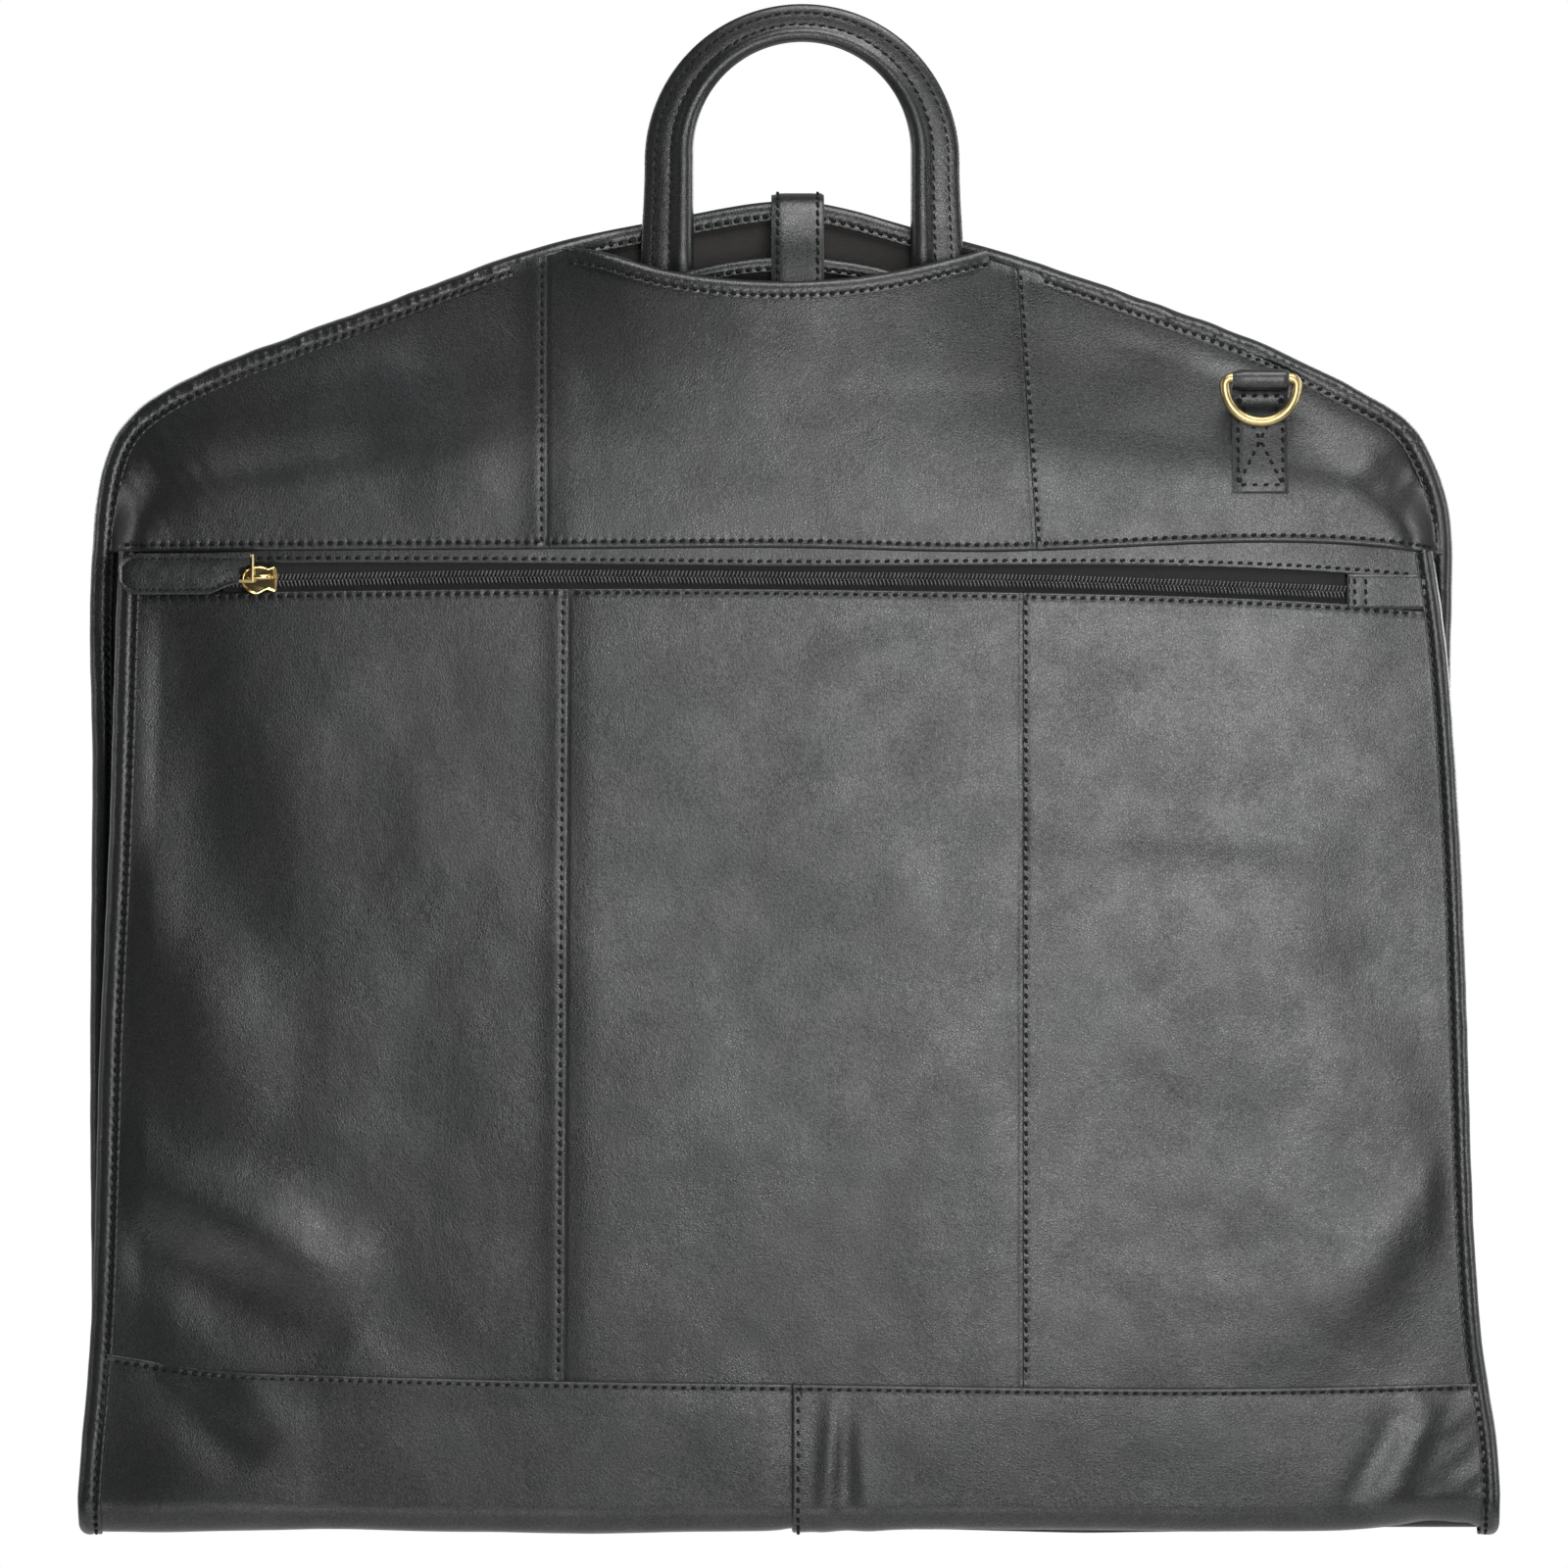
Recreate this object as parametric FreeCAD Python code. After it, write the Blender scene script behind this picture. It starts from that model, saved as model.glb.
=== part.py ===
import FreeCAD, Part
import math
import os

# A leather garment bag, folded in half and held upright by its handle. Millimetres.
# X runs across the bag, +Y points to its back and +Z up. Inside this file heights are counted from the
# bottom of the fold and Y from the gap between the folded halves; save() then moves the origin to the
# hand grip, which is where the bag is held.

V = FreeCAD.Vector

# ---- driving dimensions --------------------------------------------------------------------------

CLEAR = 0.2  # air between layers that are sewn together
LEATHER = 1.2  # one layer of bag leather
LINING = 0.6  # one layer of lining cloth
HALF_GAP = 2.0  # half of the gap between the folded halves
HALF_DEPTH = 14.0  # depth of one half of the bag
LAP = 8.0  # how far one leather piece lies under the next
WALL_INSET = 2.0  # from the outline to the edge of a panel, inside the binding
BINDING = 10.8  # face width of the side binding

FOLD_RADIUS = 10.0  # outside of the band at the two corners of the fold
CREASE_SPLIT = 3.0  # degrees left open each side of a crease, which is at 45 degrees
EDGE_SPLIT = 9.0  # the same for the side binding, which lies outside the crease's axis

YOKE_BOTTOM = 402.0
LOWER_TOP = 401.0
HEM_TOP = 62.5  # top edge of the bottom band, front and back
PANEL_BOTTOM = 12.0

YOKE_SEAM_LEFT = -99.6
YOKE_SEAM_RIGHT = ((93.0, 530.0), (101.3, 402.0))
POCKET_SEAM_LEFT = ((-90.6, 400.0), (-93.0, 12.0))
POCKET_SEAM_RIGHT = 95.0
BAND_SEAM = 1.0

MOUTH = ((-92.0, 527.5), (-3.6, 512.4), (86.0, 524.5))  # top edge of the yoke, a concave arc
MOUTH_BINDING = 7.6
ARCH = ((-60.0, 511.0), (0.0, 523.4), (60.0, 511.0))  # top edge of the inner front, a convex arc
ARCH_BINDING = 6.0
TOP_BINDING = 8.0  # inner face of the binding along the back's top edge

HANDLE_X = 5.4
HANDLE_Y = 7.4
HANDLE_PIVOT_Z = 523.5
HANDLE_INNER_RADIUS = 44.4
HANDLE_INNER_CENTRE_Z = 566.4
HANDLE_OUTER_RADIUS = 64.6
HANDLE_OUTER_CENTRE_Z = 561.8
HANDLE_TUBE = 4.2  # radius of the rolled part
HANDLE_CORE = 3.0
HANDLE_FLANGE = 3.0  # thickness of the sewn flange
LEG_BOTTOM = 487.0
LEG_DEPTH = 7.0
LEG_GAP = 3.0  # from the pivot down to the sewn leg, where the leather bends

STRAP_X = 3.6
STRAP_WIDTH = 21.6
STRAP_TOP = 548.4
STRAP_SEWN = 470.0  # lower end of the strap, sewn to the inner front
STRAP_LEAN = 526.0  # from here up it leans towards the back
STUD_Z = 495.0
STUD_HOLE = 2.4
CAP_RADIUS = 6.5
CAP_DEPTH = 1.4
SOCKET_RADIUS = 5.4
SOCKET_HOLE = 3.6

RING_WIRE = 4.3
RING_INSIDE = 25.0
RING_DROP = 17.85  # from the bar's axis to the axis of the curved bottom
RING_Z = 472.6
FRONT_RING_X = 192.4
BACK_RING_X = -198.0
TAB_WIDTH = 23.0
TAB_BOTTOM = 425.6

ZIP_LEFT = (-216.0, 390.5)  # slider at rest
ZIP_RIGHT = (219.8, 385.4)  # slider at the end of its travel
ZIP_SLOT = (-232.0, 228.0)  # ends of the slot in the leather
SLOT_HALF = 5.0
COIL_HALF = 3.2
TAPE_REACH = 12.0
ZIP_END_LENGTH = 24.0
ZIP_END_EDGES = (-7.5, 7.0)  # below and above the zip's line
ROOM_BEHIND_POCKET = 6.0  # for clothes, between the pocket's lining and the inner front

MAIN_ZIP_X = 3.6
MAIN_ZIP_TOP = 452.0
MAIN_SLIDER_Z = 432.0
LOWER_ZIP_TOP = 386.0

# ---- levels through the depth --------------------------------------------------------------------

BACK_OUT = HALF_GAP + HALF_DEPTH  # outer face of the back panel
BAND_OUT = BACK_OUT + CLEAR + LEATHER
EDGE_OUT = BAND_OUT + CLEAR + LEATHER  # outermost face of the bindings
INNER = HALF_GAP + LEATHER  # inside face of an inner front panel
YOKE_SIDE = (-BAND_OUT, -BAND_OUT + LEATHER)
YOKE_CENTRE = (-BACK_OUT, -BACK_OUT + LEATHER)
POCKET_SIDE = (-BACK_OUT, -BACK_OUT + LEATHER)
POCKET_CENTRE = (-BACK_OUT + LEATHER + CLEAR, -BACK_OUT + 2 * LEATHER + CLEAR)
TAPE_BACK = POCKET_CENTRE[1] + CLEAR + LINING

FOLD_CENTRE_Y = BAND_OUT - FOLD_RADIUS
FOLD_CENTRE_Z = LEATHER + CLEAR + FOLD_RADIUS

GRIP = V(HANDLE_X, HANDLE_Y, HANDLE_INNER_CENTRE_Z + HANDLE_INNER_RADIUS)

BELOW = -30.0  # well below and above everything, for cutting
ABOVE = 660.0
FAR = 320.0


# ---- solids from outlines ------------------------------------------------------------------------


def block(x0, x1, y0, y1, z0, z1):
    return Part.makeBox(x1 - x0, y1 - y0, z1 - z0, V(x0, y0, z0))


def slab(points, y0, y1):
    """A flat piece: an outline of (x, z) points, from y0 to y1."""
    corners = [V(x, y0, z) for x, z in points]
    return Part.Face(Part.makePolygon(corners + corners[:1])).extrude(V(0, y1 - y0, 0))


def disc(centre, radius, y0, y1):
    return Part.makeCylinder(radius, y1 - y0, V(centre[0], y0, centre[1]), V(0, 1, 0))


def along_x(radius, y, z, x0, x1):
    return Part.makeCylinder(radius, x1 - x0, V(x0, y, z), V(1, 0, 0))


def along_z(radius, x, y, z0, z1):
    return Part.makeCylinder(radius, z1 - z0, V(x, y, z0), V(0, 0, 1))


def joined(shapes):
    whole = shapes[0]
    for shape in shapes[1:]:
        whole = whole.fuse(shape)
    return whole.removeSplitter()


def circle_through(a, b, c):
    """Centre and radius of the circle through three (x, z) points."""
    d = 2 * (a[0] * (b[1] - c[1]) + b[0] * (c[1] - a[1]) + c[0] * (a[1] - b[1]))
    squares = [p[0] ** 2 + p[1] ** 2 for p in (a, b, c)]
    x = (squares[0] * (b[1] - c[1]) + squares[1] * (c[1] - a[1]) + squares[2] * (a[1] - b[1])) / d
    z = (squares[0] * (c[0] - b[0]) + squares[1] * (a[0] - c[0]) + squares[2] * (b[0] - a[0])) / d
    return (x, z), math.hypot(a[0] - x, a[1] - z)


def inset(points, distance):
    """Each point of a clockwise open line moved to its right, square to the line there."""
    moved = []
    for i, (x, z) in enumerate(points):
        before = points[max(i - 1, 0)]
        after = points[min(i + 1, len(points) - 1)]
        dx = after[0] - before[0]
        dz = after[1] - before[1]
        size = math.hypot(dx, dz)
        moved.append((x + distance * dz / size, z - distance * dx / size))
    return moved


# ---- outlines of the two halves ------------------------------------------------------------------

UPPER_LEFT = [(-291.5, BELOW), (-290.5, 11.0), (-286.0, 110.0), (-285.2, 330.0)]
SHOULDERS = [
    (-284.5, 415.0),
    (-277.5, 449.0),
    (-250.0, 471.5),
    (-194.0, 493.6),
    (-98.0, 528.0),
    (-38.0, 541.0),
    (4.0, 546.0),
    (46.0, 536.5),
    (110.0, 518.4),
    (190.0, 488.4),
    (240.0, 465.0),
    (262.0, 443.0),
    (271.0, 405.0),
]
UPPER_RIGHT = [(271.0, 330.0), (280.8, 107.0), (290.5, 11.0), (291.5, BELOW)]

LOWER_LEFT = [(-291.6, BELOW), (-290.6, 11.0), (-286.4, 67.0), (-281.4, 204.0), (-274.0, 420.0)]
LOWER_RIGHT = [(262.0, 420.0), (268.0, 371.0), (272.2, 300.0), (280.8, 107.0), (290.6, 11.0), (291.6, BELOW)]


def upper_outline(distance, y0, y1):
    """The upper half's outline, drawn in by a distance: straight sides and one smooth curve round the top."""
    points = inset(UPPER_LEFT + SHOULDERS + UPPER_RIGHT, distance)
    first = len(UPPER_LEFT)
    last = first + len(SHOULDERS)
    lefts = [V(x, y0, z) for x, z in points[: first + 1]]
    tops = [V(x, y0, z) for x, z in points[first:last]]
    rights = [V(x, y0, z) for x, z in points[last - 1 :]]
    curve = Part.BSplineCurve()
    curve.interpolate(tops)
    edges = [Part.makeLine(a, b) for a, b in zip(lefts, lefts[1:])]
    edges.append(curve.toShape())
    edges += [Part.makeLine(a, b) for a, b in zip(rights, rights[1:])]
    edges.append(Part.makeLine(rights[-1], lefts[0]))
    return Part.Face(Part.Wire(edges)).extrude(V(0, y1 - y0, 0))


def lower_outline(distance, y0, y1):
    sides = inset(LOWER_LEFT, distance) + inset(LOWER_RIGHT, distance)
    return slab(sides, y0, y1)


def upper_panel(y0, y1, z0=PANEL_BOTTOM, distance=WALL_INSET):
    return upper_outline(distance, y0, y1).common(block(-FAR, FAR, y0, y1, z0, ABOVE))


def lower_panel(y0, y1, z0=PANEL_BOTTOM, z1=LOWER_TOP, distance=WALL_INSET):
    return lower_outline(distance, y0, y1).common(block(-FAR, FAR, y0, y1, z0, z1))


def rim(outline, width, y0, y1, z0, z1):
    """A strip that follows an outline, as wide as width, between two heights."""
    ring = outline(0, y0, y1).cut(outline(width, y0 - 1, y1 + 1))
    return ring.common(block(-FAR, FAR, y0, y1, z0, z1))


def corner(side, inner, outer, start, end, x0, x1):
    """Part of a round corner of the fold. side is 1 at the back and -1 at the front; the angle is 0 at the
    upright face and 90 at the bottom."""
    steps = [math.radians(start), math.radians((start + end) / 2), math.radians(end)]

    def point(radius, angle):
        y = side * (FOLD_CENTRE_Y + radius * math.cos(angle))
        return V(x0, y, FOLD_CENTRE_Z - radius * math.sin(angle))

    outside = Part.Arc(*[point(outer, a) for a in steps]).toShape()
    inside = Part.Arc(*[point(inner, a) for a in steps]).toShape()
    ends = [Part.makeLine(point(inner, a), point(outer, a)) for a in (steps[0], steps[-1])]
    wire = Part.Wire(Part.__sortEdges__([outside, ends[0], inside, ends[1]]))
    return Part.Face(wire).extrude(V(x1 - x0, 0, 0))


def save(name, shape):
    placed = shape.copy()
    placed.translate(-GRIP)
    placed.exportStep(f"parts/{name}.step")


# ---- upper half: back, lining, binding -----------------------------------------------------------


def back_panel():
    return upper_panel(BACK_OUT - LEATHER, BACK_OUT)


def back_lining():
    front = BACK_OUT - LEATHER - CLEAR - LINING
    return upper_panel(front, front + LINING)


MOUTH_LEFT = MOUTH[0][0]
MOUTH_RIGHT = MOUTH[2][0]
MOUTH_FLOOR = 495.0


def in_mouth(y0, y1):
    return block(MOUTH_LEFT, MOUTH_RIGHT, y0, y1, MOUTH_FLOOR, ABOVE)


def edge_corner(side, start, end):
    """The binding's own leather round one corner of the fold, at both sides of the bag."""
    inner = FOLD_RADIUS + CLEAR
    outer = inner + LEATHER
    half = UPPER_RIGHT[2][0]
    return [
        corner(side, inner, outer, start, end, -half, -half + BINDING),
        corner(side, inner, outer, start, end, half - BINDING, half),
    ]


def outer_binding():
    """One leather binding round the whole upper half. It is deepest beside the yoke, shallow below it, and
    holds only the back and its lining across the mouth."""
    top = (YOKE_BOTTOM, ABOVE)
    low = (FOLD_CENTRE_Z, YOKE_BOTTOM)
    back_front = BACK_OUT - LEATHER - 2 * CLEAR - LINING - LEATHER
    inner_front = HALF_GAP - CLEAR - LEATHER
    yoke_front = -EDGE_OUT
    back_face = EDGE_OUT - LEATHER
    parts = [
        rim(upper_outline, BINDING, back_face, EDGE_OUT, FOLD_CENTRE_Z, ABOVE),
        rim(upper_outline, LEATHER, inner_front, back_face, *low),
        rim(upper_outline, BINDING, inner_front, inner_front + LEATHER, *low),
        rim(upper_outline, LEATHER, yoke_front, back_face, *top).cut(in_mouth(yoke_front, back_front)),
        rim(upper_outline, BINDING, yoke_front, yoke_front + LEATHER, *top).cut(
            in_mouth(yoke_front - 1, yoke_front + LEATHER + 1)
        ),
        rim(upper_outline, TOP_BINDING, back_front, back_front + LEATHER, *top).common(
            in_mouth(back_front, back_front + LEATHER)
        ),
    ]
    return joined(parts + edge_corner(1, 0, 45 - EDGE_SPLIT))


# ---- upper half: yoke ----------------------------------------------------------------------------


def yoke_left():
    piece = upper_panel(*YOKE_SIDE, z0=YOKE_BOTTOM)
    return piece.common(block(-FAR, YOKE_SEAM_LEFT, *YOKE_SIDE, BELOW, ABOVE))


def yoke_right():
    piece = upper_panel(*YOKE_SIDE, z0=YOKE_BOTTOM)
    (x_top, z_top), (x_low, z_low) = YOKE_SEAM_RIGHT
    outside = slab([(x_top, z_top), (FAR, z_top), (FAR, z_low), (x_low, z_low)], *YOKE_SIDE)
    return piece.common(outside)


def yoke_centre():
    """It runs under both side pieces and its top edge sits inside the mouth's binding."""
    piece = upper_panel(*YOKE_CENTRE, z0=YOKE_BOTTOM)
    (x_top, z_top), (x_low, z_low) = YOKE_SEAM_RIGHT
    left = YOKE_SEAM_LEFT - LAP
    between = slab([(left, z_top), (x_top + LAP, z_top), (x_low + LAP, z_low), (left, z_low)], *YOKE_CENTRE)
    centre, radius = circle_through(*MOUTH)
    return piece.common(between).cut(disc(centre, radius + LEATHER + CLEAR, *YOKE_CENTRE))


def mouth_binding():
    centre, radius = circle_through(*MOUTH)
    front = YOKE_CENTRE[0] - LEATHER
    back = YOKE_CENTRE[1] + CLEAR + LEATHER
    band = disc(centre, radius + MOUTH_BINDING, front, back).cut(disc(centre, radius, front, back))
    groove = disc(centre, radius + MOUTH_BINDING + 1, YOKE_CENTRE[0] - CLEAR, YOKE_CENTRE[1] + CLEAR)
    groove = groove.cut(disc(centre, radius + LEATHER, YOKE_CENTRE[0] - 1, YOKE_CENTRE[1] + 1))
    inside = 4.0  # short of the outer binding at both ends
    reach = block(MOUTH_LEFT + inside, MOUTH_RIGHT - inside, front, back, BELOW, MOUTH[0][1])
    return band.cut(groove).common(reach)


# ---- upper half: inner front with the main zip ---------------------------------------------------


def inner_front_region(y0, y1, drop=0.0):
    """Below the arched top edge, and out to the shoulders beside it."""
    centre, radius = circle_through(*ARCH)
    (x0, z0), (x1, z1), (x2, z2) = ARCH
    side_z = 514.0
    ends = 112.0

    def toward_centre(x, z):
        share = (radius - drop) / radius
        return V(centre[0] + (x - centre[0]) * share, y0, centre[1] + (z - centre[1]) * share)

    arc = [toward_centre(*p) for p in ARCH]
    left = [V(-FAR, y0, BELOW), V(-FAR, y0, side_z), V(-ends, y0, side_z), arc[0]]
    right = [arc[2], V(ends, y0, side_z), V(FAR, y0, side_z), V(FAR, y0, BELOW)]
    edges = [Part.makeLine(a, b) for a, b in zip(left, left[1:])]
    edges.append(Part.Arc(*arc).toShape())
    edges += [Part.makeLine(a, b) for a, b in zip(right, right[1:])]
    edges.append(Part.makeLine(right[-1], left[0]))
    return Part.Face(Part.Wire(edges)).extrude(V(0, y1 - y0, 0))


def main_zip_slot(y0, y1, top):
    return block(MAIN_ZIP_X - SLOT_HALF, MAIN_ZIP_X + SLOT_HALF, y0, y1, BELOW, top)


def inner_front(side):
    """One half of the inner front; side is -1 on the left of the main zip and 1 on the right."""
    y0, y1 = HALF_GAP, INNER
    piece = upper_panel(y0, y1).common(inner_front_region(y0, y1, LEATHER + CLEAR))
    piece = piece.cut(main_zip_slot(y0, y1, MAIN_ZIP_TOP))
    edge = MAIN_ZIP_X + side * CLEAR / 2
    return piece.common(block(min(edge, side * FAR), max(edge, side * FAR), y0, y1, BELOW, ABOVE))


def arch_binding():
    centre, radius = circle_through(*ARCH)
    front = HALF_GAP - LEATHER
    back = INNER + LEATHER
    band = disc(centre, radius, front, back).cut(disc(centre, radius - ARCH_BINDING, front, back))
    groove = disc(centre, radius - LEATHER, HALF_GAP - CLEAR, INNER + CLEAR)
    return band.cut(groove).common(block(ARCH[0][0], ARCH[2][0], front, back, ARCH[0][1], ABOVE))


def zip_tapes(x, y0, z0, z1):
    inner = 0.3
    return Part.makeCompound(
        [
            block(x - TAPE_REACH, x - inner, y0, y0 + LINING, z0, z1),
            block(x + inner, x + TAPE_REACH, y0, y0 + LINING, z0, z1),
        ]
    )


MAIN_COIL_DEPTH = 1.8
UPPER_COIL_Y = HALF_GAP - 0.6
LOWER_COIL_Y = -HALF_GAP - 0.2 - MAIN_COIL_DEPTH  # recessed, so that the upper slider passes


def main_zip_tapes():
    return zip_tapes(MAIN_ZIP_X, INNER + CLEAR, PANEL_BOTTOM, MAIN_ZIP_TOP)


def main_zip_coil():
    return block(
        MAIN_ZIP_X - COIL_HALF + CLEAR,
        MAIN_ZIP_X + COIL_HALF - CLEAR,
        UPPER_COIL_Y,
        UPPER_COIL_Y + MAIN_COIL_DEPTH,
        PANEL_BOTTOM + 2,
        MAIN_ZIP_TOP - 2,
    )


MAIN_PLATE = (-0.2, 1.0)  # front plate of the main slider, from and to
MAIN_LENGTH = 14.0
MAIN_HALF = 5.4
PULL_EYE = (435.5, 442.5)
PULL_END = 389.0  # centre of the pull's round lower end
EYE_HALF = 1.6


def main_slider():
    """A front plate over the coil, two side flanges and a bridge for the pull."""
    low = MAIN_SLIDER_Z
    high = low + MAIN_LENGTH
    flange = (COIL_HALF + 0.1, SLOT_HALF - 0.3)
    y0, y1 = MAIN_PLATE
    parts = [block(MAIN_ZIP_X - MAIN_HALF, MAIN_ZIP_X + MAIN_HALF, y0, y1, low, high)]
    for side in (-1, 1):
        xs = sorted(MAIN_ZIP_X + side * f for f in flange)
        parts.append(block(xs[0], xs[1], y1, INNER, low + 1, high - 1))
    half = EYE_HALF - 0.4
    parts.append(
        block(MAIN_ZIP_X - half, MAIN_ZIP_X + half, y0 - 1.6, y0, PULL_EYE[0] + 0.7, PULL_EYE[1] - 0.7)
    )
    return joined(parts)


def main_pull():
    """A flat leather pull that hangs from the slider's bridge by an eye."""
    half = 5.0
    y0, y1 = -1.6, -0.5
    tab = block(MAIN_ZIP_X - half, MAIN_ZIP_X + half, y0, y1, PULL_END, PULL_EYE[1] + 2.5)
    end = disc((MAIN_ZIP_X, PULL_END), half, y0, y1)
    hole = block(MAIN_ZIP_X - EYE_HALF, MAIN_ZIP_X + EYE_HALF, y0 - 1, y1 + 1, *PULL_EYE)
    return joined([tab, end]).cut(hole)


# ---- handle --------------------------------------------------------------------------------------


def arch_tube(radius, bottom):
    """A round tube along the handle: two upright legs and a half circle."""
    reach = HANDLE_INNER_RADIUS + HANDLE_TUBE
    centre = V(HANDLE_X, HANDLE_Y, HANDLE_INNER_CENTRE_Z)
    bend = Part.makeTorus(reach, radius, centre, V(0, 1, 0), -180, 180, 360)
    bend = bend.common(
        block(-FAR, FAR, HANDLE_Y - radius - 1, HANDLE_Y + radius + 1, HANDLE_INNER_CENTRE_Z, ABOVE)
    )
    legs = [
        along_z(radius, HANDLE_X + side * reach, HANDLE_Y, bottom, HANDLE_INNER_CENTRE_Z) for side in (-1, 1)
    ]
    return joined([bend] + legs)


def handle_core():
    return arch_tube(HANDLE_CORE, HANDLE_PIVOT_Z + 2.5)


def handle_cover():
    """Leather rolled round the core, with a flat sewn flange along its outside."""
    bottom = HANDLE_PIVOT_Z + 0.5
    y0 = HANDLE_Y - HANDLE_FLANGE / 2
    y1 = HANDLE_Y + HANDLE_FLANGE / 2
    outer = HANDLE_OUTER_RADIUS
    inner = HANDLE_INNER_RADIUS + HANDLE_TUBE
    plate = disc((HANDLE_X, HANDLE_OUTER_CENTRE_Z), outer, y0, y1)
    plate = plate.fuse(
        block(HANDLE_X - outer, HANDLE_X + outer, y0, y1, bottom, HANDLE_OUTER_CENTRE_Z)
    )
    plate = plate.common(block(-FAR, FAR, y0, y1, bottom, ABOVE))
    hollow = disc((HANDLE_X, HANDLE_INNER_CENTRE_Z), inner, y0, y1).fuse(
        block(HANDLE_X - inner, HANDLE_X + inner, y0, y1, bottom, HANDLE_INNER_CENTRE_Z)
    )
    flange = plate.cut(hollow)
    tube = arch_tube(HANDLE_TUBE, bottom)
    return joined([flange, tube]).cut(arch_tube(HANDLE_CORE + CLEAR, bottom + 1))


def handle_leg(side):
    """The flattened end of the handle, sewn to the inside of the back."""
    x = HANDLE_X + side * (HANDLE_INNER_RADIUS + HANDLE_OUTER_RADIUS) / 2
    half = 10.8
    back = BACK_OUT - LEATHER - 2 * CLEAR - LINING
    return block(x - half, x + half, back - LEG_DEPTH, back, LEG_BOTTOM, HANDLE_PIVOT_Z - LEG_GAP)


# ---- closure strap over the top edge -------------------------------------------------------------

STRAP_FRONT_Y = -0.8
STRAP_BACK_Y = EDGE_OUT + CLEAR


def strap_front():
    """Sewn to the inner front, it leans back and lies over the back's top edge."""
    t = LEATHER
    y = STRAP_FRONT_Y
    top = STRAP_TOP
    back = STRAP_BACK_Y - 0.6
    shape = [
        (y, STRAP_SEWN),
        (y + t, STRAP_SEWN),
        (y + t, STRAP_LEAN),
        (HANDLE_Y, top - t),
        (back, top - t),
        (back, top),
        (HANDLE_Y - 0.6, top),
        (y, STRAP_LEAN + 0.5),
    ]
    x0 = STRAP_X - STRAP_WIDTH / 2
    corners = [V(x0, a, b) for a, b in shape]
    return Part.Face(Part.makePolygon(corners + corners[:1])).extrude(V(STRAP_WIDTH, 0, 0))


def strap_tail():
    """The free end, down the back, with a hole for the cap's rivet."""
    x0 = STRAP_X - STRAP_WIDTH / 2
    x1 = STRAP_X + STRAP_WIDTH / 2
    y1 = STRAP_BACK_Y + LEATHER
    tail = block(x0, x1, STRAP_BACK_Y, y1, STUD_Z, STRAP_TOP - 0.4)
    end = disc((STRAP_X, STUD_Z), STRAP_WIDTH / 2, STRAP_BACK_Y, y1)
    return joined([tail, end]).cut(disc((STRAP_X, STUD_Z), STUD_HOLE, STRAP_BACK_Y - 1, y1 + 1))


def strap_cap():
    """Press-stud cap: a domed head outside, a rivet through the strap and a socket ring inside."""
    centre = (STRAP_X, STUD_Z)
    y0 = STRAP_BACK_Y + LEATHER + CLEAR
    inside = STRAP_BACK_Y - CLEAR
    sheet = 0.6  # thickness of the socket's floor
    head = disc(centre, CAP_RADIUS, y0, y0 + CAP_DEPTH)
    rivet = disc(centre, STUD_HOLE - CLEAR, inside - sheet, y0)
    floor = disc(centre, SOCKET_RADIUS, inside - sheet, inside)
    ring = disc(centre, SOCKET_RADIUS, BACK_OUT + 1.5 * sheet, inside)
    ring = ring.cut(disc(centre, SOCKET_HOLE, BACK_OUT, inside - sheet))
    return joined([head, rivet, floor, ring])


def strap_stud():
    base = disc((STRAP_X, STUD_Z), SOCKET_RADIUS - 0.4, BACK_OUT, BACK_OUT + 0.6)
    post = disc((STRAP_X, STUD_Z), SOCKET_HOLE - 0.5, BACK_OUT, BACK_OUT + 1.7)
    return joined([base, post])


# ---- D-rings and their tabs ----------------------------------------------------------------------

TAB_DEPTH = 2.2  # two layers sewn together
TAB_STEP = 1.4  # the upper stretch of the tab stands this far out, clear of the side binding
RING_STAND = 0.7  # air between the tab and the hanging ring
RING_CORNER = 3.0


def ring_axis(side):
    """Y of the ring's bar, which hangs clear of its tab; side is -1 at the front and 1 at the back."""
    face = BAND_OUT if side < 0 else BACK_OUT
    return side * (face + CLEAR + TAB_DEPTH + RING_STAND + RING_WIRE / 2)


def ring_tab(x, side):
    face = side * (BAND_OUT if side < 0 else BACK_OUT)
    near = face + side * CLEAR
    far = near + side * TAB_DEPTH
    step = near + side * TAB_STEP
    half = TAB_WIDTH / 2
    y = ring_axis(side)
    stitched = block(x - half, x + half, min(near, far), max(near, far), TAB_BOTTOM, RING_Z - 6.5)
    upper = block(x - half, x + half, min(step, far), max(step, far), TAB_BOTTOM, RING_Z)
    loop = along_x(RING_WIRE / 2 + CLEAR + LEATHER, y, RING_Z, x - half, x + half)
    whole = joined([stitched, upper, loop])
    return whole.cut(along_x(RING_WIRE / 2 + CLEAR, y, RING_Z, x - half - 1, x + half + 1))


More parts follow.
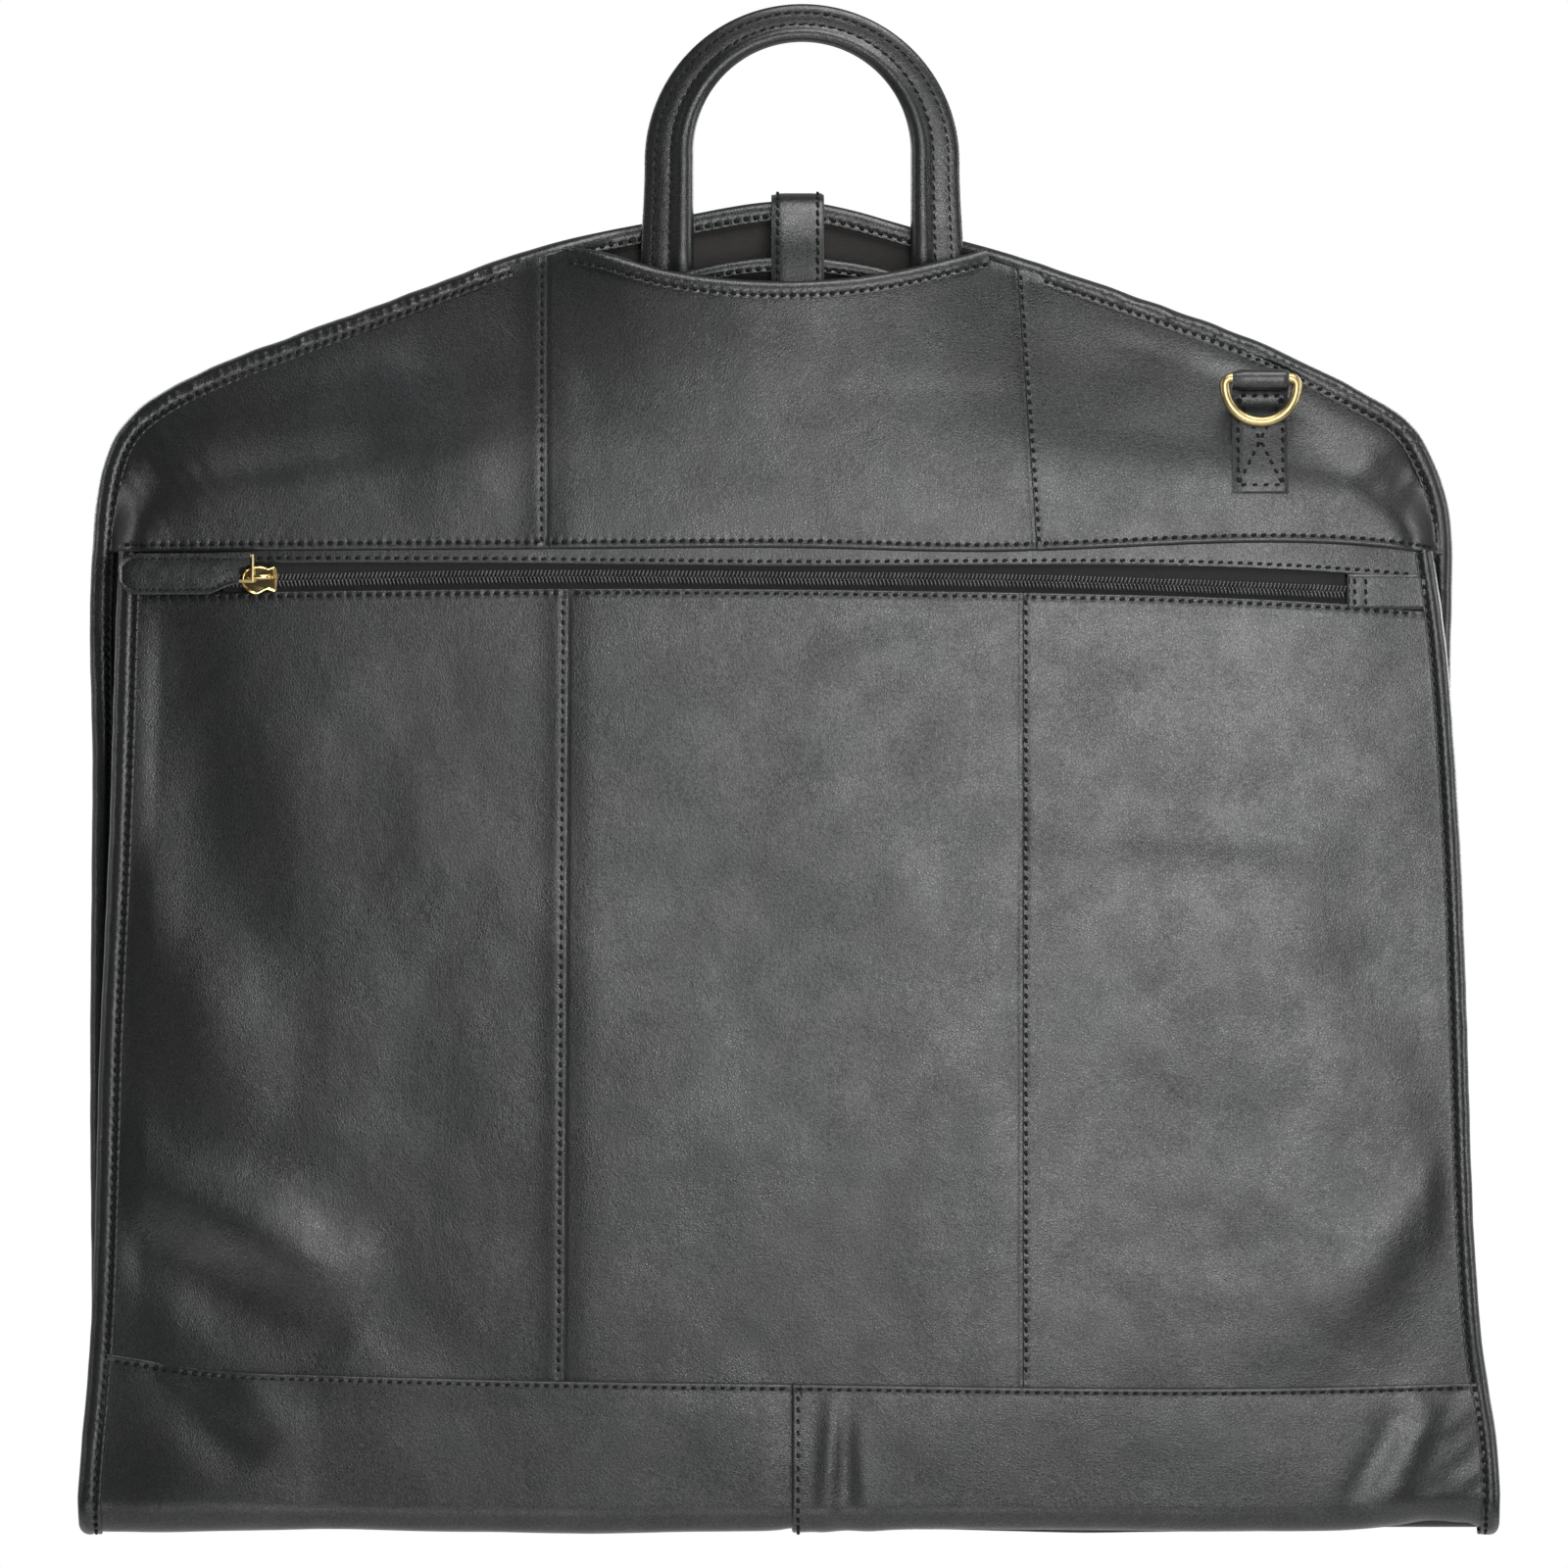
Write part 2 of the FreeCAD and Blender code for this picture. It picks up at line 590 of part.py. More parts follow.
def d_ring(x, side):
    """A D of round wire: a straight bar at the top, short legs and a half circle below."""
    y = ring_axis(side)
    r = RING_WIRE / 2
    reach = RING_INSIDE / 2 + r
    bend_z = RING_Z - RING_DROP + reach
    bow = Part.makeTorus(reach, r, V(x, y, bend_z), V(0, 1, 0))
    bow = bow.common(block(x - FAR, x + FAR, y - r - 1, y + r + 1, BELOW, bend_z))
    bar = along_x(r, y, RING_Z, x - reach + RING_CORNER, x + reach - RING_CORNER)
    parts = [bow, bar]
    for s in (-1, 1):
        parts.append(along_z(r, x + s * reach, y, bend_z, RING_Z - RING_CORNER))
        centre = V(x + s * (reach - RING_CORNER), y, RING_Z - RING_CORNER)
        bend = Part.makeTorus(RING_CORNER, r, centre, V(0, 1, 0))
        x0, x1 = sorted((centre.x, centre.x + s * 2 * reach))
        parts.append(bend.common(block(x0, x1, y - r - 1, y + r + 1, RING_Z - RING_CORNER, ABOVE)))
    return joined(parts)


# ---- the fold: band and binding round the bottom -------------------------------------------------


def band_x(side):
    """Left or right piece of the bottom band, from and to."""
    half = UPPER_RIGHT[2][0] - WALL_INSET
    return (-half, BAND_SEAM - CLEAR / 2) if side < 0 else (BAND_SEAM + CLEAR / 2, half)


def band_flap(side, face):
    """The part of a band piece on the back (face 1) or the front (face -1), with half of the round corner."""
    x0, x1 = band_x(side)
    ys = sorted((face * (BAND_OUT - LEATHER), face * BAND_OUT))
    outline = upper_outline if face > 0 else lower_outline
    flap = outline(WALL_INSET, *ys).common(block(x0, x1, *ys, FOLD_CENTRE_Z, HEM_TOP))
    bend = corner(face, FOLD_RADIUS - LEATHER, FOLD_RADIUS, 0, 45 - CREASE_SPLIT, x0, x1)
    return joined([flap, bend])


def band_fold(side):
    x0, x1 = band_x(side)
    floor = FOLD_CENTRE_Z - FOLD_RADIUS
    flat = block(x0, x1, -FOLD_CENTRE_Y, FOLD_CENTRE_Y, floor, floor + LEATHER)
    bends = [
        corner(face, FOLD_RADIUS - LEATHER, FOLD_RADIUS, 45 + CREASE_SPLIT, 90, x0, x1) for face in (-1, 1)
    ]
    return joined([flat] + bends)


def fold_binding():
    half = UPPER_RIGHT[2][0]
    parts = []
    for x0, x1 in ((-half, -half + BINDING), (half - BINDING, half)):
        parts.append(block(x0, x1, -FOLD_CENTRE_Y, FOLD_CENTRE_Y, 0, LEATHER))
    bends = edge_corner(-1, 45 + EDGE_SPLIT, 90) + edge_corner(1, 45 + EDGE_SPLIT, 90)
    left = joined([parts[0], bends[0], bends[2]])
    right = joined([parts[1], bends[1], bends[3]])
    return Part.makeCompound([left, right])


def fold_lining():
    half = UPPER_RIGHT[2][0] - BINDING
    low = FOLD_CENTRE_Z - FOLD_RADIUS + LEATHER + 2 * CLEAR
    return block(-half, half, -FOLD_CENTRE_Y, FOLD_CENTRE_Y, low, low + LINING)


# ---- lower half: pocket front --------------------------------------------------------------------


def zip_z(x):
    """Height of the pocket zip's line at x."""
    (x0, z0), (x1, z1) = ZIP_LEFT, ZIP_RIGHT
    return z0 + (z1 - z0) * (x - x0) / (x1 - x0)


def along_zip(x0, x1, low, high, y0, y1):
    """A straight strip beside the zip, from low to high above its line."""
    points = [(x0, zip_z(x0) + low), (x0, zip_z(x0) + high), (x1, zip_z(x1) + high), (x1, zip_z(x1) + low)]
    return slab(points, y0, y1)


def pocket_leather(y0, y1):
    """All of the front below the zip, with the slot taken out."""
    below = along_zip(-FAR, FAR, -500, SLOT_HALF - CLEAR, y0, y1)
    slot = along_zip(ZIP_SLOT[0], ZIP_SLOT[1], -SLOT_HALF, SLOT_HALF + 1, y0, y1)
    return lower_panel(y0, y1).common(below).cut(slot)


def pocket_side(side):
    (x_top, z_top), (x_low, z_low) = POCKET_SEAM_LEFT
    if side < 0:
        edge = [(x_top, z_top), (-FAR, z_top), (-FAR, z_low), (x_low, z_low)]
        return pocket_leather(*POCKET_SIDE).common(slab(edge, *POCKET_SIDE))
    return pocket_leather(*POCKET_SIDE).common(block(POCKET_SEAM_RIGHT, FAR, *POCKET_SIDE, BELOW, ABOVE))


def pocket_centre():
    (x_top, z_top), (x_low, z_low) = POCKET_SEAM_LEFT
    right = POCKET_SEAM_RIGHT + LAP
    corners = [(x_top - LAP, z_top), (right, z_top), (right, z_low), (x_low - LAP, z_low)]
    between = slab(corners, *POCKET_CENTRE)
    return pocket_leather(*POCKET_CENTRE).common(between)


def zip_facing():
    above = along_zip(-FAR, FAR, SLOT_HALF, 100, *POCKET_SIDE)
    return lower_panel(*POCKET_SIDE, z1=LOWER_TOP - LEATHER - CLEAR).common(above)


def pocket_zip_tapes():
    y0, y1 = POCKET_CENTRE[1] + CLEAR, TAPE_BACK
    x0, x1 = ZIP_SLOT[0] - 8, ZIP_SLOT[1] + 8
    high = 8.0
    return Part.makeCompound(
        [along_zip(x0, x1, -TAPE_REACH, -0.3, y0, y1), along_zip(x0, x1, 0.3, high, y0, y1)]
    )


COIL_DEPTH = 2.0


def pocket_zip_coil():
    y1 = POCKET_CENTRE[1]
    return along_zip(ZIP_SLOT[0] + 1, ZIP_SLOT[1] - 1, -COIL_HALF, COIL_HALF, y1 - COIL_DEPTH, y1)


def zip_end():
    """Leather piece over the closed end of the slot."""
    y0 = -BAND_OUT
    return along_zip(ZIP_SLOT[1], ZIP_SLOT[1] + ZIP_END_LENGTH, *ZIP_END_EDGES, y0, y0 + LEATHER)


def pocket_lining():
    back = -HALF_GAP - ROOM_BEHIND_POCKET
    floor = PANEL_BOTTOM + LAP
    return lower_panel(back - LINING, back, z0=floor, z1=LOWER_TOP - 2 * LEATHER, distance=2 * WALL_INSET)


def lower_front(side):
    """One half of the lower half's inner front, with its stretch of the main zip left open."""
    y0, y1 = -INNER, -HALF_GAP
    piece = lower_panel(y0, y1, z1=LOWER_TOP - LEATHER - CLEAR).cut(main_zip_slot(y0, y1, LOWER_ZIP_TOP))
    edge = MAIN_ZIP_X + side * CLEAR / 2
    return piece.common(block(min(edge, side * FAR), max(edge, side * FAR), y0, y1, BELOW, ABOVE))


def lower_zip_tapes():
    front = LOWER_COIL_Y - 0.1 - LINING
    return zip_tapes(MAIN_ZIP_X, front, PANEL_BOTTOM, LOWER_ZIP_TOP)


def lower_zip_coil():
    return block(
        MAIN_ZIP_X - COIL_HALF + CLEAR,
        MAIN_ZIP_X + COIL_HALF - CLEAR,
        LOWER_COIL_Y,
        LOWER_COIL_Y + MAIN_COIL_DEPTH,
        PANEL_BOTTOM + 2,
        LOWER_ZIP_TOP - 2,
    )


def lower_binding(side):
    front = -EDGE_OUT
    back = -HALF_GAP + CLEAR + LEATHER
    heights = (FOLD_CENTRE_Z, LOWER_TOP)
    whole = [
        rim(lower_outline, BINDING, front, front + LEATHER, *heights),
        rim(lower_outline, LEATHER, front, back, *heights),
        rim(lower_outline, BINDING, back - LEATHER, back, *heights),
    ]
    half = block(min(0, side * FAR), max(0, side * FAR), front - 1, back + 1, BELOW, ABOVE)
    bends = edge_corner(-1, 0, 45 - EDGE_SPLIT)
    return joined([part.common(half) for part in whole] + [bends[0] if side < 0 else bends[1]])


def lower_end():
    """The strip that closes the lower half's free end."""
    y0, y1 = -BACK_OUT, -HALF_GAP
    return lower_panel(y0, y1, z0=LOWER_TOP - LEATHER)


# ---- pocket slider and pull ----------------------------------------------------------------------

SLIDER_LENGTH = 14.4
SLIDER_HALF = 5.5
PLATE = (-18.2, -16.6)
PULL_AXIS = V(-218.8, -20.2, 0)
WIRE = 0.7
BRIDGE_Z = (391.0, 394.0)
BRIDGE_TOP = -22.1
PULL_WIRE_Z = (389.0, 400.8)
PULL_WIRE_LEFT = -225.4
TAB_ENDS = (-273.7, -223.2)
TAB_HALF = 8.4
TAB_CENTRE_Z = 392.6
TAB_NECK = 4.1
NECK_LEFT = -227.0
NECK_START = -238.0


def pocket_slider():
    """A shield-shaped plate, two flanges beside the coil and a bridge that holds the pull's wire."""
    x, z = ZIP_LEFT
    left = x - SLIDER_LENGTH / 2
    right = x + SLIDER_LENGTH / 2
    shield = [
        (left, z - SLIDER_HALF),
        (left, z + SLIDER_HALF),
        (right - 4, z + SLIDER_HALF),
        (right, z + 3.2),
        (right, z - 3.2),
        (right - 4, z - SLIDER_HALF),
    ]
    parts = [slab(shield, *PLATE)]
    for low, high in ((-SLOT_HALF + 0.3, -COIL_HALF - 0.3), (COIL_HALF + 0.3, SLOT_HALF - 0.3)):
        parts.append(along_zip(left + 1, right - 1, low, high, PLATE[1], POCKET_CENTRE[1]))
    gap = WIRE + 0.8
    post = 2.0
    middle = PULL_AXIS.x
    for x0, x1 in ((middle - gap - post, middle - gap), (middle + gap, middle + gap + post)):
        parts.append(block(x0, x1, BRIDGE_TOP, PLATE[0], *BRIDGE_Z))
    parts.append(block(middle - gap - post, middle + gap + post, BRIDGE_TOP, BRIDGE_TOP + 0.8, *BRIDGE_Z))
    return joined(parts)


def pull_wire():
    """A rectangular loop of thin wire: one side in the slider's bridge, the other in the pull."""
    y = PULL_AXIS.y
    low, high = PULL_WIRE_Z[0] + WIRE, PULL_WIRE_Z[1] - WIRE
    left, right = PULL_WIRE_LEFT, PULL_AXIS.x
    parts = [along_z(WIRE, x, y, low, high) for x in (left, right)]
    parts += [along_x(WIRE, y, z, left, right) for z in (low, high)]
    parts += [Part.makeSphere(WIRE, V(x, y, z)) for x in (left, right) for z in (low, high)]
    return joined(parts)


def pull_tab():
    """A leather pull with a round end; it narrows towards the slider and the wire runs through a tunnel."""
    y0, y1 = PULL_AXIS.y - 1.0, PULL_AXIS.y + 1.0
    x0, x1 = TAB_ENDS
    low = TAB_CENTRE_Z - TAB_HALF
    high = TAB_CENTRE_Z + TAB_HALF
    wire_z = sum(PULL_WIRE_Z) / 2
    outline = [
        (x0 + TAB_HALF, low),
        (x0 + TAB_HALF, high),
        (NECK_START, high),
        (NECK_LEFT, wire_z + TAB_NECK),
        (x1, wire_z + TAB_NECK),
        (x1, wire_z - TAB_NECK),
        (NECK_LEFT, wire_z - TAB_NECK),
        (NECK_START, low),
    ]
    body = slab(outline, y0, y1)
    end = disc((x0 + TAB_HALF, TAB_CENTRE_Z), TAB_HALF, y0, y1)
    tunnel = along_z(WIRE + 0.15, PULL_WIRE_LEFT, PULL_AXIS.y, BELOW, ABOVE)
    return joined([body, end]).cut(tunnel)


# ---- every piece ---------------------------------------------------------------------------------

PIECES = {
    "back_panel": back_panel(),
    "back_lining": back_lining(),
    "outer_binding": outer_binding(),
    "yoke_left": yoke_left(),
    "yoke_centre": yoke_centre(),
    "yoke_right": yoke_right(),
    "mouth_binding": mouth_binding(),
    "inner_front_left": inner_front(-1),
    "inner_front_right": inner_front(1),
    "arch_binding": arch_binding(),
    "main_zip_tapes": main_zip_tapes(),
    "main_zip_coil": main_zip_coil(),
    "main_slider": main_slider(),
    "main_pull": main_pull(),
    "handle_core": handle_core(),
    "handle_cover": handle_cover(),
    "handle_leg_left": handle_leg(-1),
    "handle_leg_right": handle_leg(1),
    "closure_strap_front": strap_front(),
    "closure_strap_tail": strap_tail(),
    "press_stud_cap": strap_cap(),
    "press_stud_post": strap_stud(),
    "front_ring_tab": ring_tab(FRONT_RING_X, -1),
    "front_d_ring": d_ring(FRONT_RING_X, -1),
    "back_ring_tab": ring_tab(BACK_RING_X, 1),
    "back_d_ring": d_ring(BACK_RING_X, 1),
    "band_left_back": band_flap(-1, 1),
    "band_right_back": band_flap(1, 1),
    "band_left_fold": band_fold(-1),
    "band_right_fold": band_fold(1),
    "band_left_front": band_flap(-1, -1),
    "band_right_front": band_flap(1, -1),
    "fold_binding": fold_binding(),
    "fold_lining": fold_lining(),
    "pocket_panel_left": pocket_side(-1),
    "pocket_panel_centre": pocket_centre(),
    "pocket_panel_right": pocket_side(1),
    "zip_facing": zip_facing(),
    "pocket_zip_tapes": pocket_zip_tapes(),
    "pocket_zip_coil": pocket_zip_coil(),
    "pocket_zip_end": zip_end(),
    "pocket_lining": pocket_lining(),
    "pocket_slider": pocket_slider(),
    "pull_wire": pull_wire(),
    "pull_tab": pull_tab(),
    "lower_front_left": lower_front(-1),
    "lower_front_right": lower_front(1),
    "lower_zip_tapes": lower_zip_tapes(),
    "lower_zip_coil": lower_zip_coil(),
    "lower_binding_left": lower_binding(-1),
    "lower_binding_right": lower_binding(1),
    "lower_end": lower_end(),
}

os.makedirs("parts", exist_ok=True)
for name, shape in PIECES.items():
    save(name, shape)
    box = shape.BoundBox
    print(
        f"{name:22s} solids {len(shape.Solids)} valid {shape.isValid()}"
        f" volume {shape.Volume / 1000:8.2f} cm3"
        f" x {box.XMin:7.1f} {box.XMax:7.1f} y {box.YMin:6.1f} {box.YMax:6.1f}"
        f" z {box.ZMin:6.1f} {box.ZMax:6.1f}"
    )
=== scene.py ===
import math

import bmesh
import bpy
import numpy as np
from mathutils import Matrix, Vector


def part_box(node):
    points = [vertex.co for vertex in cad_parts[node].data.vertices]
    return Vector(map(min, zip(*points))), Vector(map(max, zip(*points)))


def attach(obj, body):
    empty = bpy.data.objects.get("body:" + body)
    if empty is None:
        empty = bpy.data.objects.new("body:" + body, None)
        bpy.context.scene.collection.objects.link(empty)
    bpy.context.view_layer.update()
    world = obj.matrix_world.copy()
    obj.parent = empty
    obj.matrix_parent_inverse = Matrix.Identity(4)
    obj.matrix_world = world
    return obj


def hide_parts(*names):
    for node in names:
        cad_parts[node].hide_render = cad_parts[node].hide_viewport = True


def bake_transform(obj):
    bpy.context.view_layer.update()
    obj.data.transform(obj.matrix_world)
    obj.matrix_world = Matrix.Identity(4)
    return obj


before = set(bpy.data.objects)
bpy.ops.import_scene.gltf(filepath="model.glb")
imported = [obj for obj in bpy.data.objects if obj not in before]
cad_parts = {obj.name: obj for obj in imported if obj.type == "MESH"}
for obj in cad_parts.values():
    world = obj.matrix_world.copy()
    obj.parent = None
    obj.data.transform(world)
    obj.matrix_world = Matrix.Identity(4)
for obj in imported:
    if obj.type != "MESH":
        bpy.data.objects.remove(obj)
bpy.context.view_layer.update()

# A leather garment bag, folded in half and held up by its handle. The numbers below are millimetres,
# counted from the middle of the fold's underside as in the CAD model: X across the bag, Y to its back,
# Z up. metres() puts them in the row frame.

MM = 0.001
fold_low, fold_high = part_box("fold_binding")
ORIGIN = np.array([(fold_low.x + fold_high.x) / 2, (fold_low.y + fold_high.y) / 2, fold_low.z])


def metres(points):
    return np.asarray(points, float) * MM + ORIGIN


def node_box(name):
    """Lowest and highest corner of a CAD node, in millimetres from the fold's middle."""
    low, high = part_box(name)
    return (np.array(low) - ORIGIN) / MM, (np.array(high) - ORIGIN) / MM


# ---- driving dimensions --------------------------------------------------------------------------

LEATHER = 1.3
LINING = 0.7
PITCH = 4.0  # from one stitch to the next
PANEL_STEP = 1.4  # spacing of a panel's vertices

BACK_OUT = node_box("back_panel")[1][1]
YOKE_OUT = -node_box("yoke_left")[0][1]
POCKET_OUT = -node_box("pocket_panel_left")[0][1]
INNER_FACE = node_box("inner_front_left")[0][1]

FOLD_CENTRE = 15.3  # height of the binding's half turn round the fold
FOLD_TURN = 10.4  # radius of that half turn, to the middle of the binding
SIDE_X = 290.4  # half the bag's width at the fold
BINDING_HALF = 4.9  # half the thickness of the side binding
LOWER_EDGE_Y = -8.2  # middle of the lower half's binding
UPPER_EDGE_Y = 8.5  # middle of the upper half's binding, below the yoke

UPPER_EDGE = [
    (-290.6, 0), (-290.3, 15), (-288.4, 47), (-286.4, 72), (-285.8, 130), (-285.6, 267), (-285.4, 327),
    (-286.2, 375), (-284.8, 407), (-281.5, 434), (-273.5, 453), (-256, 467.5), (-226, 481.6), (-162, 505.2),
    (-98, 528), (-38, 540.8), (4, 545.8), (46, 536.4), (78, 527.6), (142, 506.4), (206, 481.8), (238, 465.5),
    (254, 455), (263.5, 440), (269.3, 424), (271.6, 400), (271, 347), (272.4, 307), (276.8, 207),
    (280.8, 107), (284.8, 67), (288.4, 42), (290.4, 15), (290.8, 0),
]
LOWER_LEFT = [
    (-290.8, 0), (-290.6, 11), (-286.4, 67), (-284, 111), (-281.4, 204), (-278.5, 267), (-274.6, 387),
    (-274, 404),
]
LOWER_RIGHT = [
    (290.9, 0), (290.5, 15), (288.4, 44), (284.8, 67), (280.8, 107), (278.8, 150), (275, 267), (271.3, 330),
    (267.6, 371), (262.8, 404),
]

HEM = [
    (-290, 75.5), (-275.6, 73.6), (-251.6, 69.6), (-202, 66.4), (-114, 64), (2, 62.4), (214, 61), (290, 63)
]
YOKE_HEM = [(-290, 401.4), (-272, 401.6), (-66, 403), (14, 403), (78, 401.6), (258, 401.4), (275, 398.5)]
FACING_LOW = [(-290, 396.6), (-104, 396.7), (14, 395.6), (226, 392.8), (270, 389)]
POCKET_TOP = [(-290, 384.4), (-91, 387), (14, 386.6), (94, 385.4), (226, 380.8), (275, 377)]
COIL_LINE = [
    (-234, 389.6), (-210, 390), (-130, 391.4), (-66, 391.6), (14, 390.8), (78, 390.2), (174, 387.4),
    (230, 385.2),
]
MOUTH_TOP = [
    (-90, 526.5), (-78.8, 525.2), (-61.2, 520), (-34.4, 514.4), (-3.6, 512.4), (42, 516.4), (70.4, 523),
    (81, 525.5),
]
ARCH_TOP = [(-60, 511), (-42, 516.8), (-6.8, 522.6), (14.8, 522), (42.4, 516.8), (60, 511)]
MOUTH_WIDTH = 7.6
ARCH_WIDTH = 6.0

YOKE_SEAM_LEFT = -99.6
YOKE_SEAM_RIGHT = ((93.6, 515.0), (101.2, 403.0))
POCKET_SEAM_LEFT = ((-90.8, 387.0), (-92.8, 63.0))
POCKET_SEAM_RIGHT = 95.6
BAND_SEAM = 1.2
SEAM_LAP = 8.0
SEAM_ROW = 1.2  # from a seam's edge to its stitches
TAB_RISE = 2.6  # from the panel to a ring tab's outer face

# ---- lines ---------------------------------------------------------------------------------------


def points_of(*columns):
    """Points from arrays or single numbers for x, y and z, or for x and z."""
    return np.stack(np.broadcast_arrays(*columns), axis=-1)


def each(direction, count):
    return np.tile(np.asarray(direction, float), (count, 1))


def lengths(line):
    """How far along the line each of its points lies."""
    return np.concatenate([[0.0], np.cumsum(np.linalg.norm(np.diff(line, axis=0), axis=1))])


def sample(values, s, at):
    """The values of a line, known at the lengths s, read at other lengths."""
    if values.ndim == 1:
        return np.interp(at, s, values)
    return np.stack([np.interp(at, s, column) for column in values.T], axis=1)


def even(line, count):
    """The line again, with count points an even distance apart."""
    s = lengths(line)
    return sample(line, s, np.linspace(0, s[-1], count))


def smooth_line(points, step=1.0):
    """An even polyline along the natural cubic spline through the points."""
    p = np.array(points, float)
    t = lengths(p)
    h = np.diff(t)
    n = len(p)
    system = np.eye(n)
    right = np.zeros_like(p)
    for i in range(1, n - 1):
        system[i, i - 1] = h[i - 1]
        system[i, i] = 2 * (h[i - 1] + h[i])
        system[i, i + 1] = h[i]
        right[i] = 6 * ((p[i + 1] - p[i]) / h[i] - (p[i] - p[i - 1]) / h[i - 1])
    bend = np.linalg.solve(system, right)
    fine = np.linspace(0, t[-1], 40 * n)
    k = np.clip(np.searchsorted(t, fine, side="right") - 1, 0, n - 2)
    a = ((t[k + 1] - fine) / h[k])[:, None]
    b = 1 - a
    line = a * p[k] + b * p[k + 1]
    line += ((a**3 - a) * bend[k] + (b**3 - b) * bend[k + 1]) * (h[k] ** 2)[:, None] / 6
    return even(line, max(2, int(round(lengths(line)[-1] / step)) + 1))


def height_of(points):
    """A function that gives the height of a line at x; the line runs from left to right."""
    line = smooth_line(points)
    return lambda x: np.interp(x, line[:, 0], line[:, 1])


def side_of(points):
    """A function that gives x of an upright line at a height; the line runs upwards."""
    line = smooth_line(points)
    return lambda z: np.interp(z, line[:, 1], line[:, 0])


def tangents(line):
    d = np.gradient(line, axis=0)
    return d / np.linalg.norm(d, axis=1)[:, None]


def ramp(value, start, stop):
    """0 before start, 1 after stop, smooth between them."""
    t = np.clip((np.asarray(value, float) - start) / (stop - start), 0, 1)
    return t * t * (3 - 2 * t)


def bump(distance, width):
    return np.exp(-((distance / width) ** 2))


edge = smooth_line(UPPER_EDGE)
edge_length = lengths(edge)
edge_along = tangents(edge)
edge_inward = points_of(edge_along[:, 1], -edge_along[:, 0])
lower_left = side_of(LOWER_LEFT)
lower_right = side_of(LOWER_RIGHT)
hem_z = height_of(HEM)
yoke_hem_z = height_of(YOKE_HEM)
facing_z = height_of(FACING_LOW)
pocket_top_z = height_of(POCKET_TOP)
coil_z = height_of(COIL_LINE)
mouth_z = height_of(MOUTH_TOP)
arch_z = height_of(ARCH_TOP)


def nearest_edge(x, z):
    """Distance from each (x, z) to the upper half's outline, and the place there as a fractional index."""
    flat = points_of(np.ravel(x), np.ravel(z))
    best = np.empty(len(flat))
    place = np.empty(len(flat))
    for start in range(0, len(flat), 4000):
        block = flat[start : start + 4000]
        d = ((block[:, None, :] - edge[None, :, :]) ** 2).sum(axis=2)
        i = d.argmin(axis=1)
        past = ((block - edge[i]) * edge_along[i]).sum(axis=1)
        place[start : start + 4000] = i + np.clip(past, -0.5, 0.5)
        best[start : start + 4000] = np.sqrt(np.maximum(d.min(axis=1) - past**2, 0))
    return best.reshape(np.shape(x)), place.reshape(np.shape(x))


def edge_index(x, z):
    """The number of the outline's point nearest to (x, z)."""
    place = nearest_edge(np.array([x]), np.array([z]))[1]
    return int(round(place[0]))


def at_edge(values, place):
    return np.interp(place, np.arange(len(values)), values)


def along_edge(knots, spread=10):
    """A value for every point of the outline, from (place, value) knots, smoothed over a short length."""
    places = [edge_length[edge_index(*place)] for place, value in knots]
    values = np.interp(edge_length, places, [value for place, value in knots])
    window = np.hanning(2 * spread + 1)
    padded = np.pad(values, spread, mode="edge")
    return np.convolve(padded, window / window.sum(), mode="valid")


# middle, half thickness and width of the upper half's binding along its outline
edge_y = along_edge([
    ((-290, 20), 9.6), ((-287, 70), UPPER_EDGE_Y), ((-286, 365), UPPER_EDGE_Y), ((-285, 398), 2.5),
    ((-281, 436), 1.5), ((-226, 481), 3.0), ((-120, 520), 3), ((-92, 530), 5.5), ((-72, 534), 13),
    ((62, 532), 13), ((84, 526), 5.5), ((110, 518), 3), ((206, 481), 3.0), ((263, 440), 1.5),
    ((271, 402), 2.5), ((271, 368), UPPER_EDGE_Y), ((285, 70), UPPER_EDGE_Y), ((290, 20), 9.6),
])
edge_half = along_edge([
    ((-290, 0), BINDING_HALF), ((-120, 520), BINDING_HALF + 0.5), ((-92, 530), 4.4), ((-74, 534), 2.7),
    ((66, 531), 2.7), ((84, 526), 4.4), ((110, 518), BINDING_HALF + 0.5), ((290, 0), BINDING_HALF),
])
edge_width = along_edge([
    ((-290, 0), 9.6), ((-226, 481), 9.4), ((-72, 534), 8.0), ((62, 532), 8.0), ((206, 481), 9.0), (
        (290, 0), 8.8
    ),
])
# Y of the yoke's face where it goes under the binding
yoke_rim = along_edge([
    ((-290, 0), -2.5), ((-281, 436), -2.4), ((-120, 520), -1.2), ((-96, 529), -2.6), ((-70, 535), -7.5),
    ((-30, 540), -11), ((20, 539), -11), ((60, 532), -7.5), ((88, 525), -2.6), ((110, 518), -1.2),
    ((263, 440), -2.4), ((290, 0), -2.5),
])


# ---- uneven surfaces -----------------------------------------------------------------------------


def noise(x, z, size, seed):
    """Smooth random hills about size across, from about -1 to 1."""
    rng = np.random.default_rng(seed)
    turn = rng.uniform(0, 2 * math.pi, (257, 257))
    u = np.asarray(x, float) / size + 71.3
    v = np.asarray(z, float) / size + 93.7
    i = np.floor(u).astype(int)
    j = np.floor(v).astype(int)
    fu = u - i
    fv = v - j
    su = fu * fu * fu * (fu * (fu * 6 - 15) + 10)
    sv = fv * fv * fv * (fv * (fv * 6 - 15) + 10)

    def corner(a, b):
        angle = turn[(i + a) % 257, (j + b) % 257]
        return np.cos(angle) * (fu - a) + np.sin(angle) * (fv - b)

    low = corner(0, 0) * (1 - su) + corner(1, 0) * su
    high = corner(0, 1) * (1 - su) + corner(1, 1) * su
    return 1.6 * (low * (1 - sv) + high * sv)


